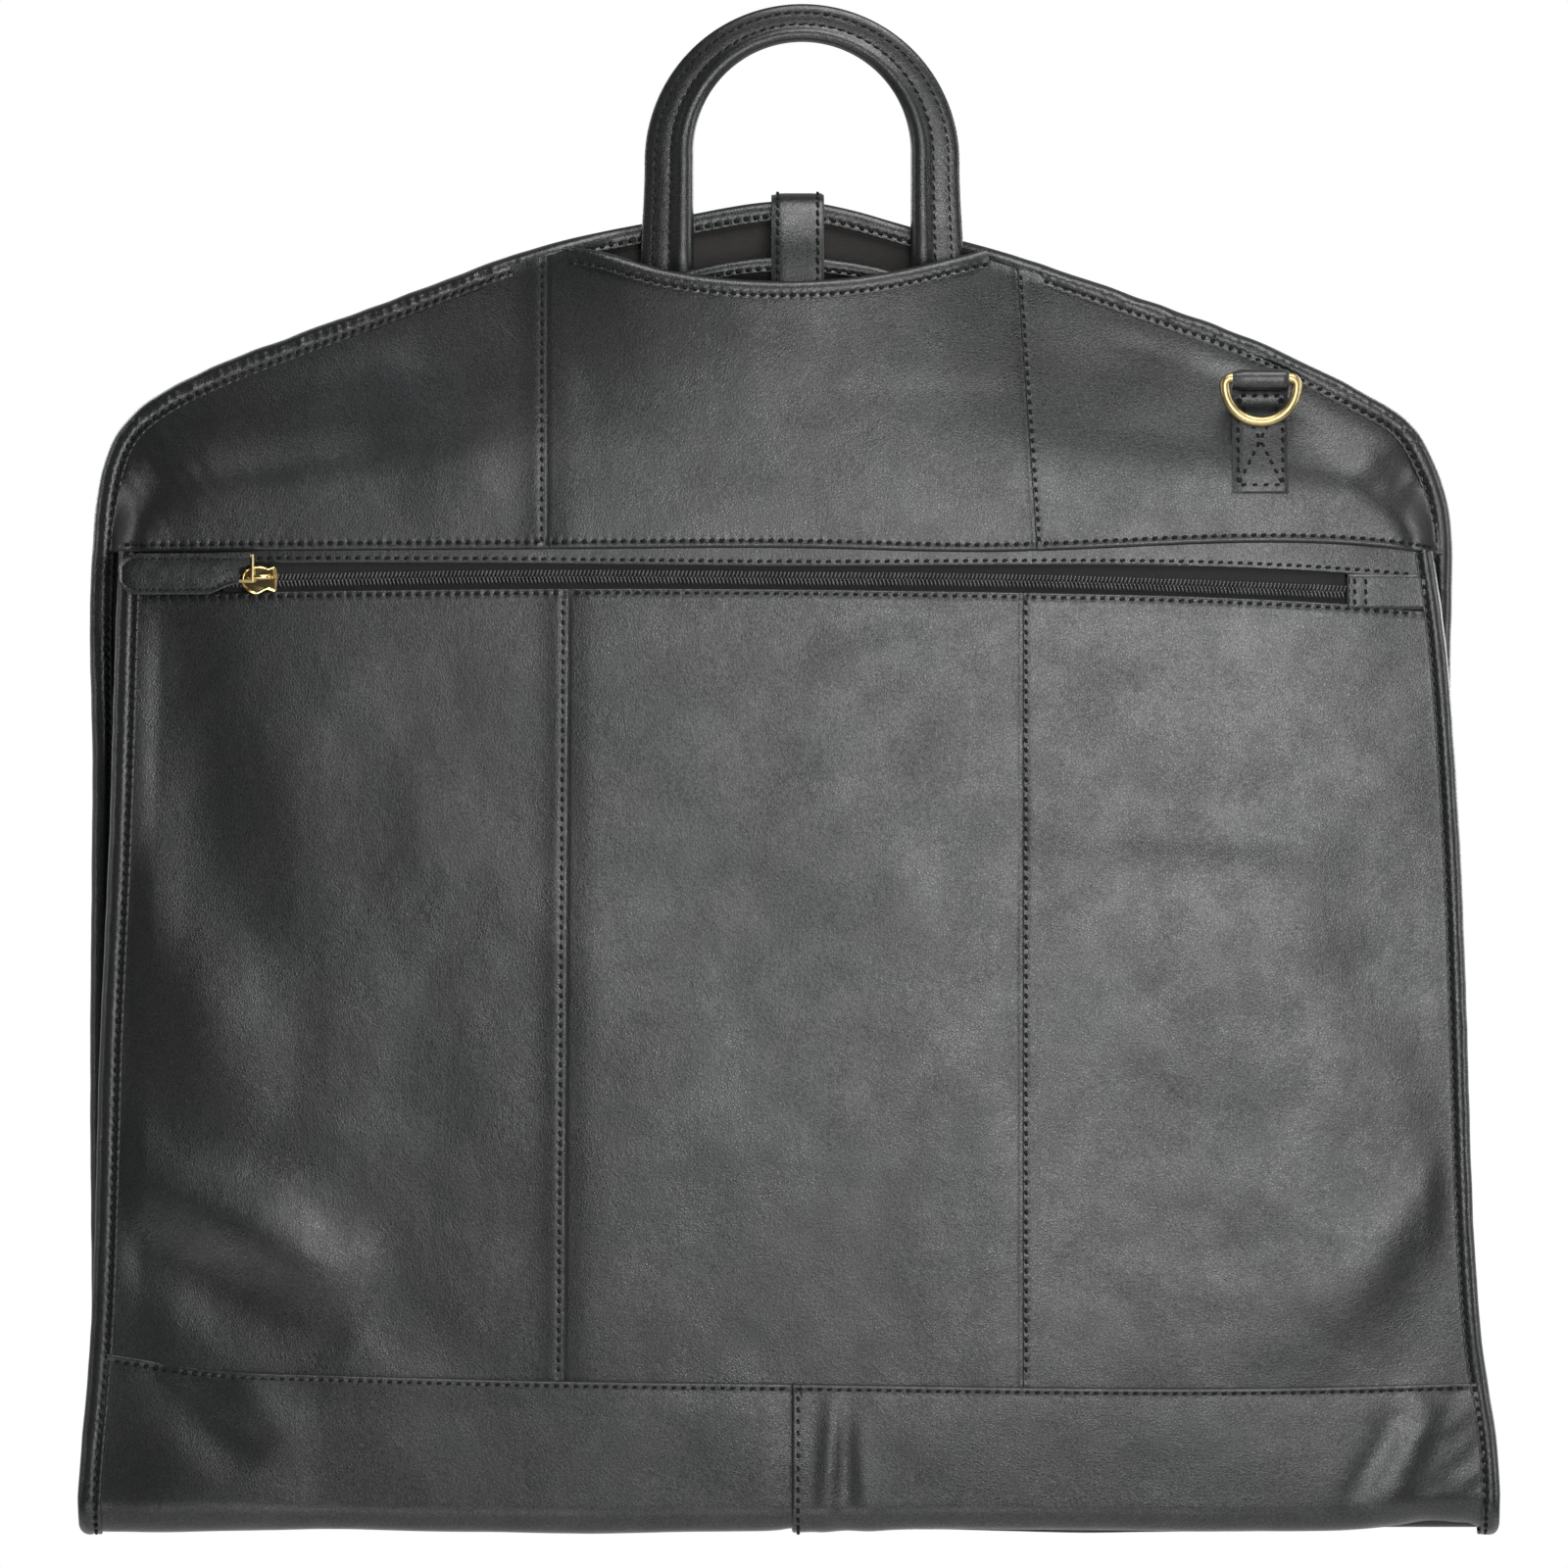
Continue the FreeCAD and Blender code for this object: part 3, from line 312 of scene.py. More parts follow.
def hills(x, z, seed, amount=1.0):
    """Soft unevenness of a leather panel, with a little shorter wrinkling."""
    wide = 1.1 * noise(x, z, 95, seed) + 0.42 * noise(x, z, 42, seed + 1)
    short = 0.10 * noise(x, z, 17, seed + 2) + 0.025 * noise(x, z, 7, seed + 3)
    return amount * (wide + short)


def fold_line(x, z, start, end, width, height):
    """A soft fold from start to end: how far the leather moves at (x, z)."""
    start = np.array(start, float)
    d = np.array(end, float) - start
    t = ((x - start[0]) * d[0] + (z - start[1]) * d[1]) / (d @ d)
    away = np.hypot(x - start[0] - np.clip(t, 0, 1) * d[0], z - start[1] - np.clip(t, 0, 1) * d[1])
    return height * bump(away, width) * np.sin(np.clip(0.12 + 0.76 * t, 0, 1) * math.pi)


def folds(x, z, table):
    return sum(fold_line(x, z, *fold) for fold in table)


# soft folds: start, end, width and how far the leather moves back (front panels) or out (band)
YOKE_FOLDS = [
    ((-250, 440), (-170, 452), 14, 1.3), ((-240, 455), (-160, 478), 13, -1.5), (
        (-150, 425), (-95, 470), 20, -1.4
    ),
    ((120, 470), (176, 505), 13, -0.6), ((212, 450), (252, 424), 11, -1.3),
]
POCKET_FOLDS = [
    ((-272, 122), (-192, 80), 17, 2.8), ((-280, 158), (-186, 108), 19, -3.4), (
        (-252, 372), (-232, 250), 22, 2.2
    ),
    ((-262, 272), (-222, 165), 24, -2.6), ((14, 340), (52, 350), 6, 0.4), ((8, 352), (58, 366), 7, -0.5),
    ((222, 296), (250, 196), 20, 1.6), ((225, 90), (268, 150), 14, -1.6), ((108, 288), (228, 284), 9, -1.1),
    ((104, 330), (112, 250), 16, -1.1),
]
BAND_FOLDS = [
    ((14, 2), (19, 58), 4.5, 1.3), ((33, 0), (28, 46), 6, 0.9), ((24, 4), (23, 54), 4, -0.7),
    ((-258, 22), (-200, 18), 13, 1.6), ((-262, 66), (-222, 33), 12, -2.2), ((-230, 60), (-200, 36), 12, 1.2),
    ((262, 52), (240, 8), 7, 1.2), ((250, 50), (226, 10), 6, -0.9),
]


def pucker(away, along, depth=0.42, width=1.5):
    """The dent of a stitch row: deeper in each stitch than between them."""
    return depth * bump(away, width) * (0.5 + 0.5 * np.cos(2 * math.pi * along / PITCH))


def edge_roll(away, radius=1.3):
    """How far a turned edge falls back, at a distance from the edge."""
    inside = np.clip(radius - away, 0, radius)
    return radius - np.sqrt(np.maximum(radius**2 - inside**2, 0))


def seam_x(line, z):
    (x0, z0), (x1, z1) = line
    return x0 + (x1 - x0) * (z - z0) / (z1 - z0)


def back_y(x, z):
    away, i = nearest_edge(x, z)
    rim = at_edge(edge_y, i) + at_edge(edge_half, i) - LEATHER
    y = BACK_OUT + (rim - BACK_OUT) * np.exp(-((np.maximum(away - 8, 0) / 30) ** 1.3))
    calm = ramp(away, 8, 40)
    y = y + 2.0 * bump(np.hypot(x + 198, z - 462), 30) * ramp(away, 9, 22)
    return y + calm * hills(x, z, 11, 0.9)


def inner_y(x, z):
    """The inner front of the upper half."""
    away, i = nearest_edge(x, z)
    rim = at_edge(edge_y, i) - at_edge(edge_half, i) + LEATHER
    rim = np.where(z > 400, np.maximum(rim, INNER_FACE - 1.5), rim)
    y = INNER_FACE + (rim - INNER_FACE) * np.exp(-((np.maximum(away - 8, 0) / 16) ** 1.3))
    flat = 1 - bump(x - 3.6, 22)
    return y + 0.22 * flat * ramp(away, 6, 30) * noise(x, z, 40, 31)


def yoke_base(x, z):
    away, i = nearest_edge(x, z)
    rise = ramp(z, 405, 470)
    middle = -YOKE_OUT + 0.2 + 1.6 * ramp(z, 410, 470) + 1.2 * ramp(z, 470, 512)
    reach = 6 + 30 * rise
    share = np.exp(-((np.maximum(away - 7, 0) / reach) ** 1.35))
    return middle + (at_edge(yoke_rim, i) - middle) * share, away


def yoke_y(x, z):
    y, away = yoke_base(x, z)
    calm = ramp(away, 8, 34)
    uneven = 0.45 + 0.6 * ramp(np.abs(x), 95, 160)
    y = y + calm * hills(x, z, 21, 1.0) * uneven * (0.3 + 0.7 * ramp(z, 405, 440))
    corner = bump(np.hypot(x + 268, z - 428), 26)
    y = y + corner * (0.4 * noise(x + 0.6 * z, z * 0.35, 6.5, 25) + 0.5 * noise(x, z, 14, 26))
    corner = bump(np.hypot(x - 262, z - 425), 18)
    y = y + corner * (0.5 * noise(x - 0.6 * z, z * 0.35, 6.5, 27) + 0.3 * noise(x, z, 12, 28))
    under_tab = 2.4 * bump(np.hypot(x - 192.5, z - 462), 30)
    return y + (folds(x, z, YOKE_FOLDS) - under_tab) * ramp(away, 9, 22)


def pocket_y(x, z):
    away = np.minimum(x - lower_left(z), lower_right(z) - x)
    rim = LOWER_EDGE_Y - BINDING_HALF + LEATHER
    y = -POCKET_OUT + 0.3 + (rim + POCKET_OUT - 0.3) * np.exp(-((np.maximum(away - 8, 0) / 34) ** 1.25))
    calm = ramp(away, 8, 36)
    uneven = 0.65 + 0.55 * ramp(np.abs(x), 95, 160)
    y = y + calm * hills(x, z, 41, 1.0) * uneven * (0.25 + 0.75 * ramp(386 - z, 0, 50))
    return y + folds(x, z, POCKET_FOLDS) * ramp(away, 8, 20)


def lower_inner_y(x, z):
    """The inner front of the lower half, which faces the upper one."""
    away = np.minimum(x - lower_left(z), lower_right(z) - x)
    rim = LOWER_EDGE_Y + BINDING_HALF - LEATHER
    y = -INNER_FACE + (rim + INNER_FACE) * np.exp(-((np.maximum(away - 8, 0) / 16) ** 1.3))
    flat = 1 - bump(x - 3.6, 22)
    return y + 0.22 * flat * ramp(away, 6, 30) * noise(x, z, 40, 35)


# ---- meshes --------------------------------------------------------------------------------------


def link(name, data):
    made = bpy.data.objects.new(name, data)
    bpy.context.scene.collection.objects.link(made)
    return made


def shade(mesh, sharp):
    """Smooth shading, except over edges sharper than an angle in degrees."""
    mesh.shade_smooth()
    mesh.set_sharp_from_angle(angle=math.radians(sharp))


def make_object(name, points, faces, material, sharp=50):
    mesh = bpy.data.meshes.new(name)
    mesh.from_pydata(metres(points).tolist(), [], faces)
    mesh.validate()
    shade(mesh, sharp)
    mesh.materials.append(material)
    return link(name, mesh)


def from_bmesh(name, shape, material):
    mesh = bpy.data.meshes.new(name)
    shape.to_mesh(mesh)
    shape.free()
    mesh.materials.append(material)
    return link(name, mesh)


def stand_for(piece, slot, body, *nodes):
    """A piece that replaces CAD nodes, which are hidden, and the body it rides on; slot, the finish, is not
    used.
    """
    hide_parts(*nodes)
    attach(piece, body)


def grid_faces(rows, columns, wrap=False, start=0):
    """Faces of a grid of points; wrap joins the last column to the first."""
    last = columns if wrap else columns - 1
    r, c = np.meshgrid(np.arange(rows - 1), np.arange(last), indexing="ij")
    n = (c + 1) % columns
    low, high = r * columns, (r + 1) * columns
    quads = np.stack([low + c, low + n, high + n, high + c], axis=-1)
    return (quads.reshape(-1, 4) + start).tolist()


def normals_of(points):
    """Unit normals of a grid of points."""
    n = np.cross(np.gradient(points, axis=0), np.gradient(points, axis=1))
    return n / np.maximum(np.linalg.norm(n, axis=2), 1e-9)[..., None]


def border_of(grid):
    """The values round the rim of a grid, in order."""
    return np.concatenate([grid[0, :], grid[1:, -1], grid[-1, -2::-1], grid[-2:0:-1, 0]])


def shell(name, face, thickness, material, inside):
    """A closed sheet: a grid of points for its outer face, and the same grid one thickness inside."""
    rows, columns = face.shape[:2]
    n = normals_of(face)
    away = np.sign((n * np.asarray(inside)).sum(axis=2).mean())
    back = face + n * away * thickness
    count = rows * columns
    faces = grid_faces(rows, columns)
    faces += [f[::-1] for f in grid_faces(rows, columns, start=count)]
    border = border_of(np.arange(count).reshape(rows, columns)).tolist()
    faces += [[b, a, a + count, b + count] for a, b in zip(border, border[1:] + border[:1])]
    points = np.concatenate([face.reshape(-1, 3), back.reshape(-1, 3)])
    if away < 0:
        faces = [f[::-1] for f in faces]
    return make_object(name, points, faces, material)


def tube(name, sections, material, sharp=50):
    """A closed solid from a row of closed sections, with flat ends."""
    rows, columns = sections.shape[:2]
    faces = grid_faces(rows, columns, wrap=True)
    faces.append(list(range(columns))[::-1])
    faces.append(list(range((rows - 1) * columns, rows * columns)))
    return make_object(name, sections.reshape(-1, 3), faces, material, sharp)


def joined(name, pieces):
    """Several meshes as one object."""
    whole = bmesh.new()
    for piece in pieces:
        whole.from_mesh(piece.data)
    material = pieces[0].data.materials[0]
    bmesh.ops.recalc_face_normals(whole, faces=whole.faces)
    for piece in pieces:
        bpy.data.objects.remove(piece)
    return from_bmesh(name, whole, material)


def fractions(length, step, fine_start=0.0, fine_end=0.0):
    """Places from 0 to 1 along a length, closer together near the ends that are asked for."""
    at = [0.0]
    while at[-1] < length:
        left = at[-1]
        right = length - at[-1]
        size = step
        if fine_start and left < fine_start:
            size = 0.35 + (step - 0.35) * left / fine_start
        if fine_end and right < fine_end:
            size = min(size, 0.35 + (step - 0.35) * right / fine_end)
        at.append(at[-1] + size)
    return np.array(at) / at[-1]


def level(value):
    """A line that stays at one value."""
    return lambda place: np.full_like(place, value)


def between(left, right, low, high, across, upward):
    """A grid of (x, z) between two upright lines left(z), right(z) and two level lines low(x), high(x)."""
    u, v = np.meshgrid(across, upward, indexing="ij")
    x = np.zeros_like(u)
    z = low(x) + (high(x) - low(x)) * v
    for _ in range(6):
        x = left(z) + (right(z) - left(z)) * u
        z = low(x) + (high(x) - low(x)) * v
    return x, z


def coons(bottom, top, left, right, across, upward):
    """A grid of (x, z) inside four lines: bottom and top run to the right, left and right run upwards."""

    def places(line, at):
        s = lengths(line)
        return sample(line, s, at * s[-1])

    b, t = places(bottom, across), places(top, across)
    l, r = places(left, upward), places(right, upward)
    u, v = across[:, None, None], upward[None, :, None]
    ruled = (1 - v) * b[:, None] + v * t[:, None] + (1 - u) * l[None] + u * r[None]
    corners = (1 - u) * (1 - v) * b[0] + u * (1 - v) * b[-1] + (1 - u) * v * t[0] + u * v * t[-1]
    points = ruled - corners
    return points[..., 0], points[..., 1]


# ---- materials -----------------------------------------------------------------------------------


class Nodes:
    """A material and its nodes, with short ways to add them."""

    def __init__(self, name):
        self.material = bpy.data.materials.new(name)
        self.material.use_nodes = True
        self.tree = self.material.node_tree
        self.shader = self.tree.nodes["Principled BSDF"]
        self.place = self.add("ShaderNodeTexCoord").outputs["Object"]

    def add(self, kind, inputs=(), **settings):
        node = self.tree.nodes.new(kind)
        for key, value in settings.items():
            setattr(node, key, value)
        for key, value in dict(inputs).items():
            self.put(node.inputs[key], value)
        return node

    def put(self, socket, value):
        if hasattr(value, "is_output"):
            self.tree.links.new(value, socket)
        else:
            socket.default_value = value

    def noise(self, scale, detail=2.0, roughness=0.5, distortion=0.0):
        inputs = {
            "Vector": self.place, "Scale": scale, "Detail": detail, "Roughness": roughness,
            "Distortion": distortion,
        }
        return self.add("ShaderNodeTexNoise", inputs).outputs["Fac"]

    def cells(self, scale, feature, place):
        node = self.add("ShaderNodeTexVoronoi", feature=feature)
        self.put(node.inputs["Vector"], place)
        self.put(node.inputs["Scale"], scale)
        return node.outputs["Distance"]

    def math(self, operation, a, b=0.0, c=0.0):
        node = self.add("ShaderNodeMath", operation=operation)
        for socket, value in zip(node.inputs, (a, b, c)):
            self.put(socket, value)
        return node.outputs[0]

    def range(self, value, low, high, to_low=0.0, to_high=1.0):
        inputs = {"Value": value, "From Min": low, "From Max": high, "To Min": to_low, "To Max": to_high}
        return self.add("ShaderNodeMapRange", inputs, interpolation_type="SMOOTHSTEP").outputs["Result"]

    def mix(self, share, a, b):
        """One colour turning into another; sockets 6, 7 and 2 are the node's colours."""
        node = self.add("ShaderNodeMix", data_type="RGBA")
        for key, value in (("Factor", share), (6, a), (7, b)):
            self.put(node.inputs[key], value)
        return node.outputs[2]

    def warped(self, scale, amount):
        """Object coordinates pushed about by noise."""
        push = self.add("ShaderNodeTexNoise", {"Vector": self.place, "Scale": scale}).outputs["Color"]
        add = self.add(
            "ShaderNodeVectorMath", {0: push, 1: (amount,) * 3, 2: self.place}, operation="MULTIPLY_ADD"
        )
        return add.outputs["Vector"]

    def bumped(self, height, strength, distance, after=None):
        node = self.add("ShaderNodeBump", {"Height": height, "Strength": strength, "Distance": distance})
        if after is not None:
            self.put(node.inputs["Normal"], after)
        return node.outputs["Normal"]

    def finish(self, colour, roughness, normal=None, **more):
        self.put(self.shader.inputs["Base Color"], colour)
        self.put(self.shader.inputs["Roughness"], roughness)
        if normal is not None:
            self.put(self.shader.inputs["Normal"], normal)
        for key, value in more.items():
            self.put(self.shader.inputs[key.replace("_", " ")], value)
        return self.material


def leather_material(name, dark, light, gloss, creases, grain=1.0):
    """Semi-gloss grained leather: fine pores, vein-like creases with painted shade along them, uneven polish
    and paler worn edges.
    """
    n = Nodes(name)
    pores = n.cells(900.0, "DISTANCE_TO_EDGE", n.warped(380.0, 0.0009))
    pores = n.range(pores, 0.0, 0.3)
    fine = n.noise(1500.0, 3.0, 0.7)
    wrinkle = n.noise(150.0, 5.0, 0.62, distortion=0.25)
    level = n.noise(34.0, 7.0, 0.72, distortion=0.6)
    veins = n.range(n.math("ABSOLUTE", n.math("SUBTRACT", level, 0.5)), 0.0, 0.007)
    where = n.range(n.noise(24.0, 3.0, 0.5), 0.5, 0.66)
    crease_and_shade = n.math("MULTIPLY", n.math("SUBTRACT", 1.0, veins), where)
    patches = n.range(n.noise(7.5, 4.0, 0.62, distortion=0.5), 0.34, 0.66)
    cloudy = n.range(n.noise(52.0, 6.0, 0.68), 0.34, 0.68)
    speck = n.range(n.noise(1100.0, 4.0, 0.75), 0.3, 0.72)
    share = n.math("ADD", n.math("MULTIPLY", patches, 0.65), n.math("MULTIPLY", cloudy, 0.35))
    colour = n.mix(share, dark, light)
    tint = n.range(n.noise(19.0, 3.0, 0.6), 0.4, 0.64)
    warm = [light[0] * 1.12, light[1], light[2] * 0.9, 1.0]
    cool = [light[0] * 0.84, light[1], light[2] * 1.14, 1.0]
    colour = n.mix(0.4, colour, n.mix(tint, warm, cool))
    # painted shade: the crease lines are painted darker, as the shade in their grooves
    colour = n.mix(n.math("MULTIPLY", crease_and_shade, 0.35), colour, [0.4 * c for c in dark[:3]] + [1.0])
    shape = n.add("ShaderNodeNewGeometry").outputs["Pointiness"]
    worn = n.range(shape, 0.53, 0.62, 0.0, 0.5)
    colour = n.mix(worn, colour, [2.4 * c for c in light[:3]] + [1.0])
    polish = n.math("MULTIPLY_ADD", cloudy, -0.05, gloss + 0.04)
    polish = n.math("MULTIPLY_ADD", patches, -0.05, polish)
    polish = n.math("MULTIPLY_ADD", n.math("SUBTRACT", 1.0, pores), 0.10, polish)
    shine = n.math("MULTIPLY_ADD", speck, 0.34, 0.28)
    shine = n.math("MULTIPLY_ADD", cloudy, 0.06, shine)
    shine = n.math("MULTIPLY_ADD", crease_and_shade, -0.15, shine)
    normal = n.bumped(wrinkle, 0.12 * creases, 0.0010)
    normal = n.bumped(crease_and_shade, -0.22 * creases, 0.0004, normal)
    normal = n.bumped(pores, 0.34 * grain, 0.00010, normal)
    normal = n.bumped(fine, 0.24 * grain, 0.00010, normal)
    return n.finish(colour, polish, normal, Specular_IOR_Level=shine)


def woven_material(name, dark, light, per_metre, twill, rough=0.85):
    """Cloth with crossed threads; twill leans its ribs."""
    n = Nodes(name)
    size = per_metre * 2 * math.pi
    parts = n.add("ShaderNodeSeparateXYZ")
    n.put(parts.inputs[0], n.place)
    x, z = parts.outputs["X"], parts.outputs["Z"]
    lean = n.math("MULTIPLY_ADD", z, twill, x)
    warp = n.math("MULTIPLY_ADD", n.math("SINE", n.math("MULTIPLY", lean, size)), 0.5, 0.5)
    weft = n.math("MULTIPLY_ADD", n.math("SINE", n.math("MULTIPLY", z, size)), 0.5, 0.5)
    threads = n.math("MULTIPLY", warp, n.math("MULTIPLY_ADD", weft, 0.5, 0.5))
    slub = n.noise(260.0, 3.0, 0.6)
    share = n.math("MULTIPLY_ADD", threads, 0.7, n.math("MULTIPLY", slub, 0.3))
    colour = n.mix(share, dark, light)
    normal = n.bumped(threads, 0.6, 0.00018)
    normal = n.bumped(n.noise(60.0, 3.0, 0.5), 0.25, 0.0012, normal)
    return n.finish(colour, rough, normal, Specular_IOR_Level=0.25, Sheen_Weight=0.25, Sheen_Roughness=0.4)


def plain_material(name, colour, other, rough, metallic=0.0, scratch=0.0, scale=900.0, shine=0.5):
    """Metal, nylon or thread: two close tones, uneven polish and a fine relief."""
    n = Nodes(name)
    tone = n.mix(n.range(n.noise(scale / 6, 3.0, 0.6), 0.35, 0.65), colour, other)
    polish = n.math("MULTIPLY_ADD", n.noise(scale / 3, 4.0, 0.7), 0.14, rough - 0.07)
    normal = n.bumped(n.noise(scale, 3.0, 0.6), scratch, 0.0001)
    return n.finish(tone, polish, normal, Metallic=metallic, Specular_IOR_Level=shine)


BLACK = (0.0035, 0.0038, 0.0037, 1)
PALER = (0.0085, 0.0094, 0.0092, 1)
leather = leather_material("grained_leather", BLACK, PALER, 0.30, 1.0)
binding_leather = leather_material("binding_leather", (0.0035, 0.0038, 0.0038, 1), PALER, 0.29, 1.3)
handle_leather = leather_material("handle_leather", BLACK, (0.0075, 0.0082, 0.008, 1), 0.28, 1.0, 0.9)
lining = woven_material("lining_twill", (0.009, 0.0085, 0.008, 1), (0.028, 0.0265, 0.025, 1), 900.0, 1.0)
inner_cloth = woven_material("inner_twill", (0.008, 0.008, 0.008, 1), (0.027, 0.027, 0.027, 1), 700.0, -1.0)
zip_cloth = woven_material("zip_tape", (0.005, 0.005, 0.0055, 1), (0.016, 0.016, 0.017, 1), 1300.0, 0.0, 0.8)
nylon = plain_material("zip_coil_nylon", (0.02, 0.02, 0.021, 1), (0.034, 0.034, 0.036, 1), 0.24, scratch=0.05)
thread_tones = ((0.003, 0.0033, 0.0033, 1), (0.007, 0.0075, 0.0075, 1))
thread = plain_material("sewing_thread", *thread_tones, 0.7, scratch=0.5, scale=2500.0, shine=0.15)
brass = plain_material("pale_brass", (0.36, 0.29, 0.15, 1), (0.31, 0.24, 0.115, 1), 0.38, 1.0, 0.03)
polished_brass = plain_material(
    "polished_brass", (0.72, 0.56, 0.27, 1), (0.66, 0.49, 0.2, 1), 0.16, 1.0, 0.02
)
cord_core = plain_material("twisted_cord", (0.30, 0.26, 0.19, 1), (0.22, 0.18, 0.13, 1), 0.9, scratch=0.6)

# ---- stitches ------------------------------------------------------------------------------------


def capsule():
    """A stitch one unit long and two units thick, with pointed ends: its points and faces."""
    ring = 6
    profile = [(-0.44, 0.72), (-0.22, 1.0), (0.22, 1.0), (0.44, 0.72)]
    angles = [2 * math.pi * k / ring for k in range(ring)]
    points = [(-0.5, 0.0, 0.0)]
    points += [(at, wide * math.cos(a), wide * math.sin(a)) for at, wide in profile for a in angles]
    points.append((0.5, 0.0, 0.0))
    turns = [(k, (k + 1) % ring) for k in range(ring)]
    faces = [[0, 1 + after, 1 + k] for k, after in turns]
    for a in range(1, 1 + ring * (len(profile) - 1), ring):
        faces += [[a + k, a + after, a + ring + after, a + ring + k] for k, after in turns]
    last = 1 + ring * len(profile)
    faces += [[last, last - ring + k, last - ring + after] for k, after in turns]
    return np.array(points), faces


CAPSULE, CAPSULE_FACES = capsule()
ARCH = 1 - (2 * CAPSULE[:, 0]) ** 2  # 1 at a stitch's middle, 0 at its ends


class Sewing:
    """Collects stitch rows that ride together and makes one mesh of them."""

    def __init__(self):
        self.points = []
        self.faces = []
        self.count = 0

    def add(self, centres, along, side, up, size, rise):
        """Stitches at the centres, of a length, width and thickness; rise lifts their points."""
        length, width, thickness = size
        for c, a, b, u in zip(centres, along, side, up):
            body = c + np.outer(CAPSULE[:, 0] * length, a) + np.outer(CAPSULE[:, 1] * width, b)
            body += np.outer(CAPSULE[:, 2] * thickness + rise, u)
            self.points.append(body)
            self.faces += [[v + self.count for v in f] for f in CAPSULE_FACES]
            self.count += len(body)

    def row(self, line, out, pitch=PITCH, length=2.3, radius=0.56, lift=0.1, yaw=0.2):
        """Stitches along a line of 3D points; out is the direction away from the leather, one or one each."""
        line = np.asarray(line, float)
        s = lengths(line)
        number = max(1, int(s[-1] / pitch))
        at = (np.arange(number) + 0.5) * s[-1] / number
        along = sample(tangents(line), s, at)
        along /= np.linalg.norm(along, axis=1)[:, None]
        up = sample(np.broadcast_to(np.asarray(out, float), line.shape), s, at)
        up -= (up * along).sum(axis=1)[:, None] * along
        up /= np.linalg.norm(up, axis=1)[:, None]
        side = np.cross(up, along)
        lean = along * math.cos(yaw) + side * math.sin(yaw)
        side = side * math.cos(yaw) - along * math.sin(yaw)
        size = (length, radius * 1.15, radius)
        self.add(sample(line, s, at), lean, side, up, size, lift + 0.45 * ARCH - 0.2)

    def make(self, name, body=None, material=None):
        made = make_object(name, np.concatenate(self.points), self.faces, material or thread, 80)
        if body:
            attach(made, body)
        return made


upper_sewing = Sewing()
lower_sewing = Sewing()
fold_back_sewing = Sewing()
fold_front_sewing = Sewing()

# ---- bindings ------------------------------------------------------------------------------------

# one section of the binding, from its inner edge on one face round the rolled edge to the other face:
# share of the width from the outer edge, share of the half thickness
ROLL = 0.50  # share of the width that is rolled
STITCH_AT = 0.76  # share of the width, from the outer edge


def binding_section():
    half = [
        (1.0, 0.90), (0.97, 0.98), (0.90, 1.0), (0.83, 0.94), (STITCH_AT, 0.86), (0.69, 0.93), (0.60, 1.0)
    ]
    for k in range(9):
        a = math.radians(90 - 11.25 * k)
        half.append((ROLL * (1 - math.cos(a) ** 0.9), math.sin(a)))
    return np.array([(n, -q) for n, q in half] + half[-2::-1])


SECTION = binding_section()


def binding(name, strip, material, thickness=LEATHER, gather=1.0, seed=61):
    """A strip folded over an edge. Each row has the outer edge's place, the unit direction inward over the
    panel, the unit direction across the panel, half the thickness and the width."""
    outer_edge, inward, across, half, width = strip
    count = len(outer_edge)
    s = lengths(outer_edge)
    n = SECTION[:, 0][None, :] * width[:, None]
    q = SECTION[:, 1][None, :] * half[:, None]
    dent = bump(SECTION[:, 0] - STITCH_AT, 0.16)[None, :]
    crest = bump(SECTION[:, 0] - 0.42, 0.24)[None, :]
    wave = np.cos(2 * math.pi * s / PITCH)[:, None]
    slow = noise(s, 0.0, 13.0, seed)[:, None]
    quick = noise(s, 5.0, 5.0, seed + 1)[:, None]
    sign = np.sign(SECTION[:, 1])[None, :]
    gather = np.broadcast_to(np.asarray(gather, float), (count,))[:, None]
    crinkle = 0.16 * wave * np.clip(quick + 0.6, 0, 1.4) + 0.22 * quick + 0.25 * slow
    y = q + sign * (0.26 * dent * (-1 - wave) + gather * crest * crinkle)
    n = n + gather * 0.22 * slow * (1 - SECTION[:, 0])[None, :]
    inner_n = n + thickness * np.cos(np.clip(n / (ROLL * width[:, None]), 0, 1) * math.pi / 2)
    inner_y = y - sign * thickness * np.abs(SECTION[:, 1])[None, :]

    def placed(n, y):
        return outer_edge[:, None, :] + n[..., None] * inward[:, None, :] + y[..., None] * across[:, None, :]

    return tube(name, np.concatenate([placed(n, y), placed(inner_n, inner_y)[:, ::-1]], axis=1), material)


def binding_row(strip, face):
    """The line of stitches on one face of a binding, and the direction out of it."""
    outer_edge, inward, across, half, width = strip
    line = outer_edge + inward * (STITCH_AT * width)[:, None] + across * (face * half * 0.86)[:, None]
    return line, across * face


def side_turn(side, start, stop, count=14):
    """Part of the binding's half turn round the fold, at the left (-1) or right (1) side; 0 is the back
    and 180 the front."""
    a = np.radians(np.linspace(start, stop, count))
    line = points_of(side * SIDE_X, FOLD_TURN * np.cos(a), FOLD_CENTRE - FOLD_TURN * np.sin(a))
    return line, each((-side, 0, 0), count), points_of(0.0, np.cos(a), -np.sin(a))


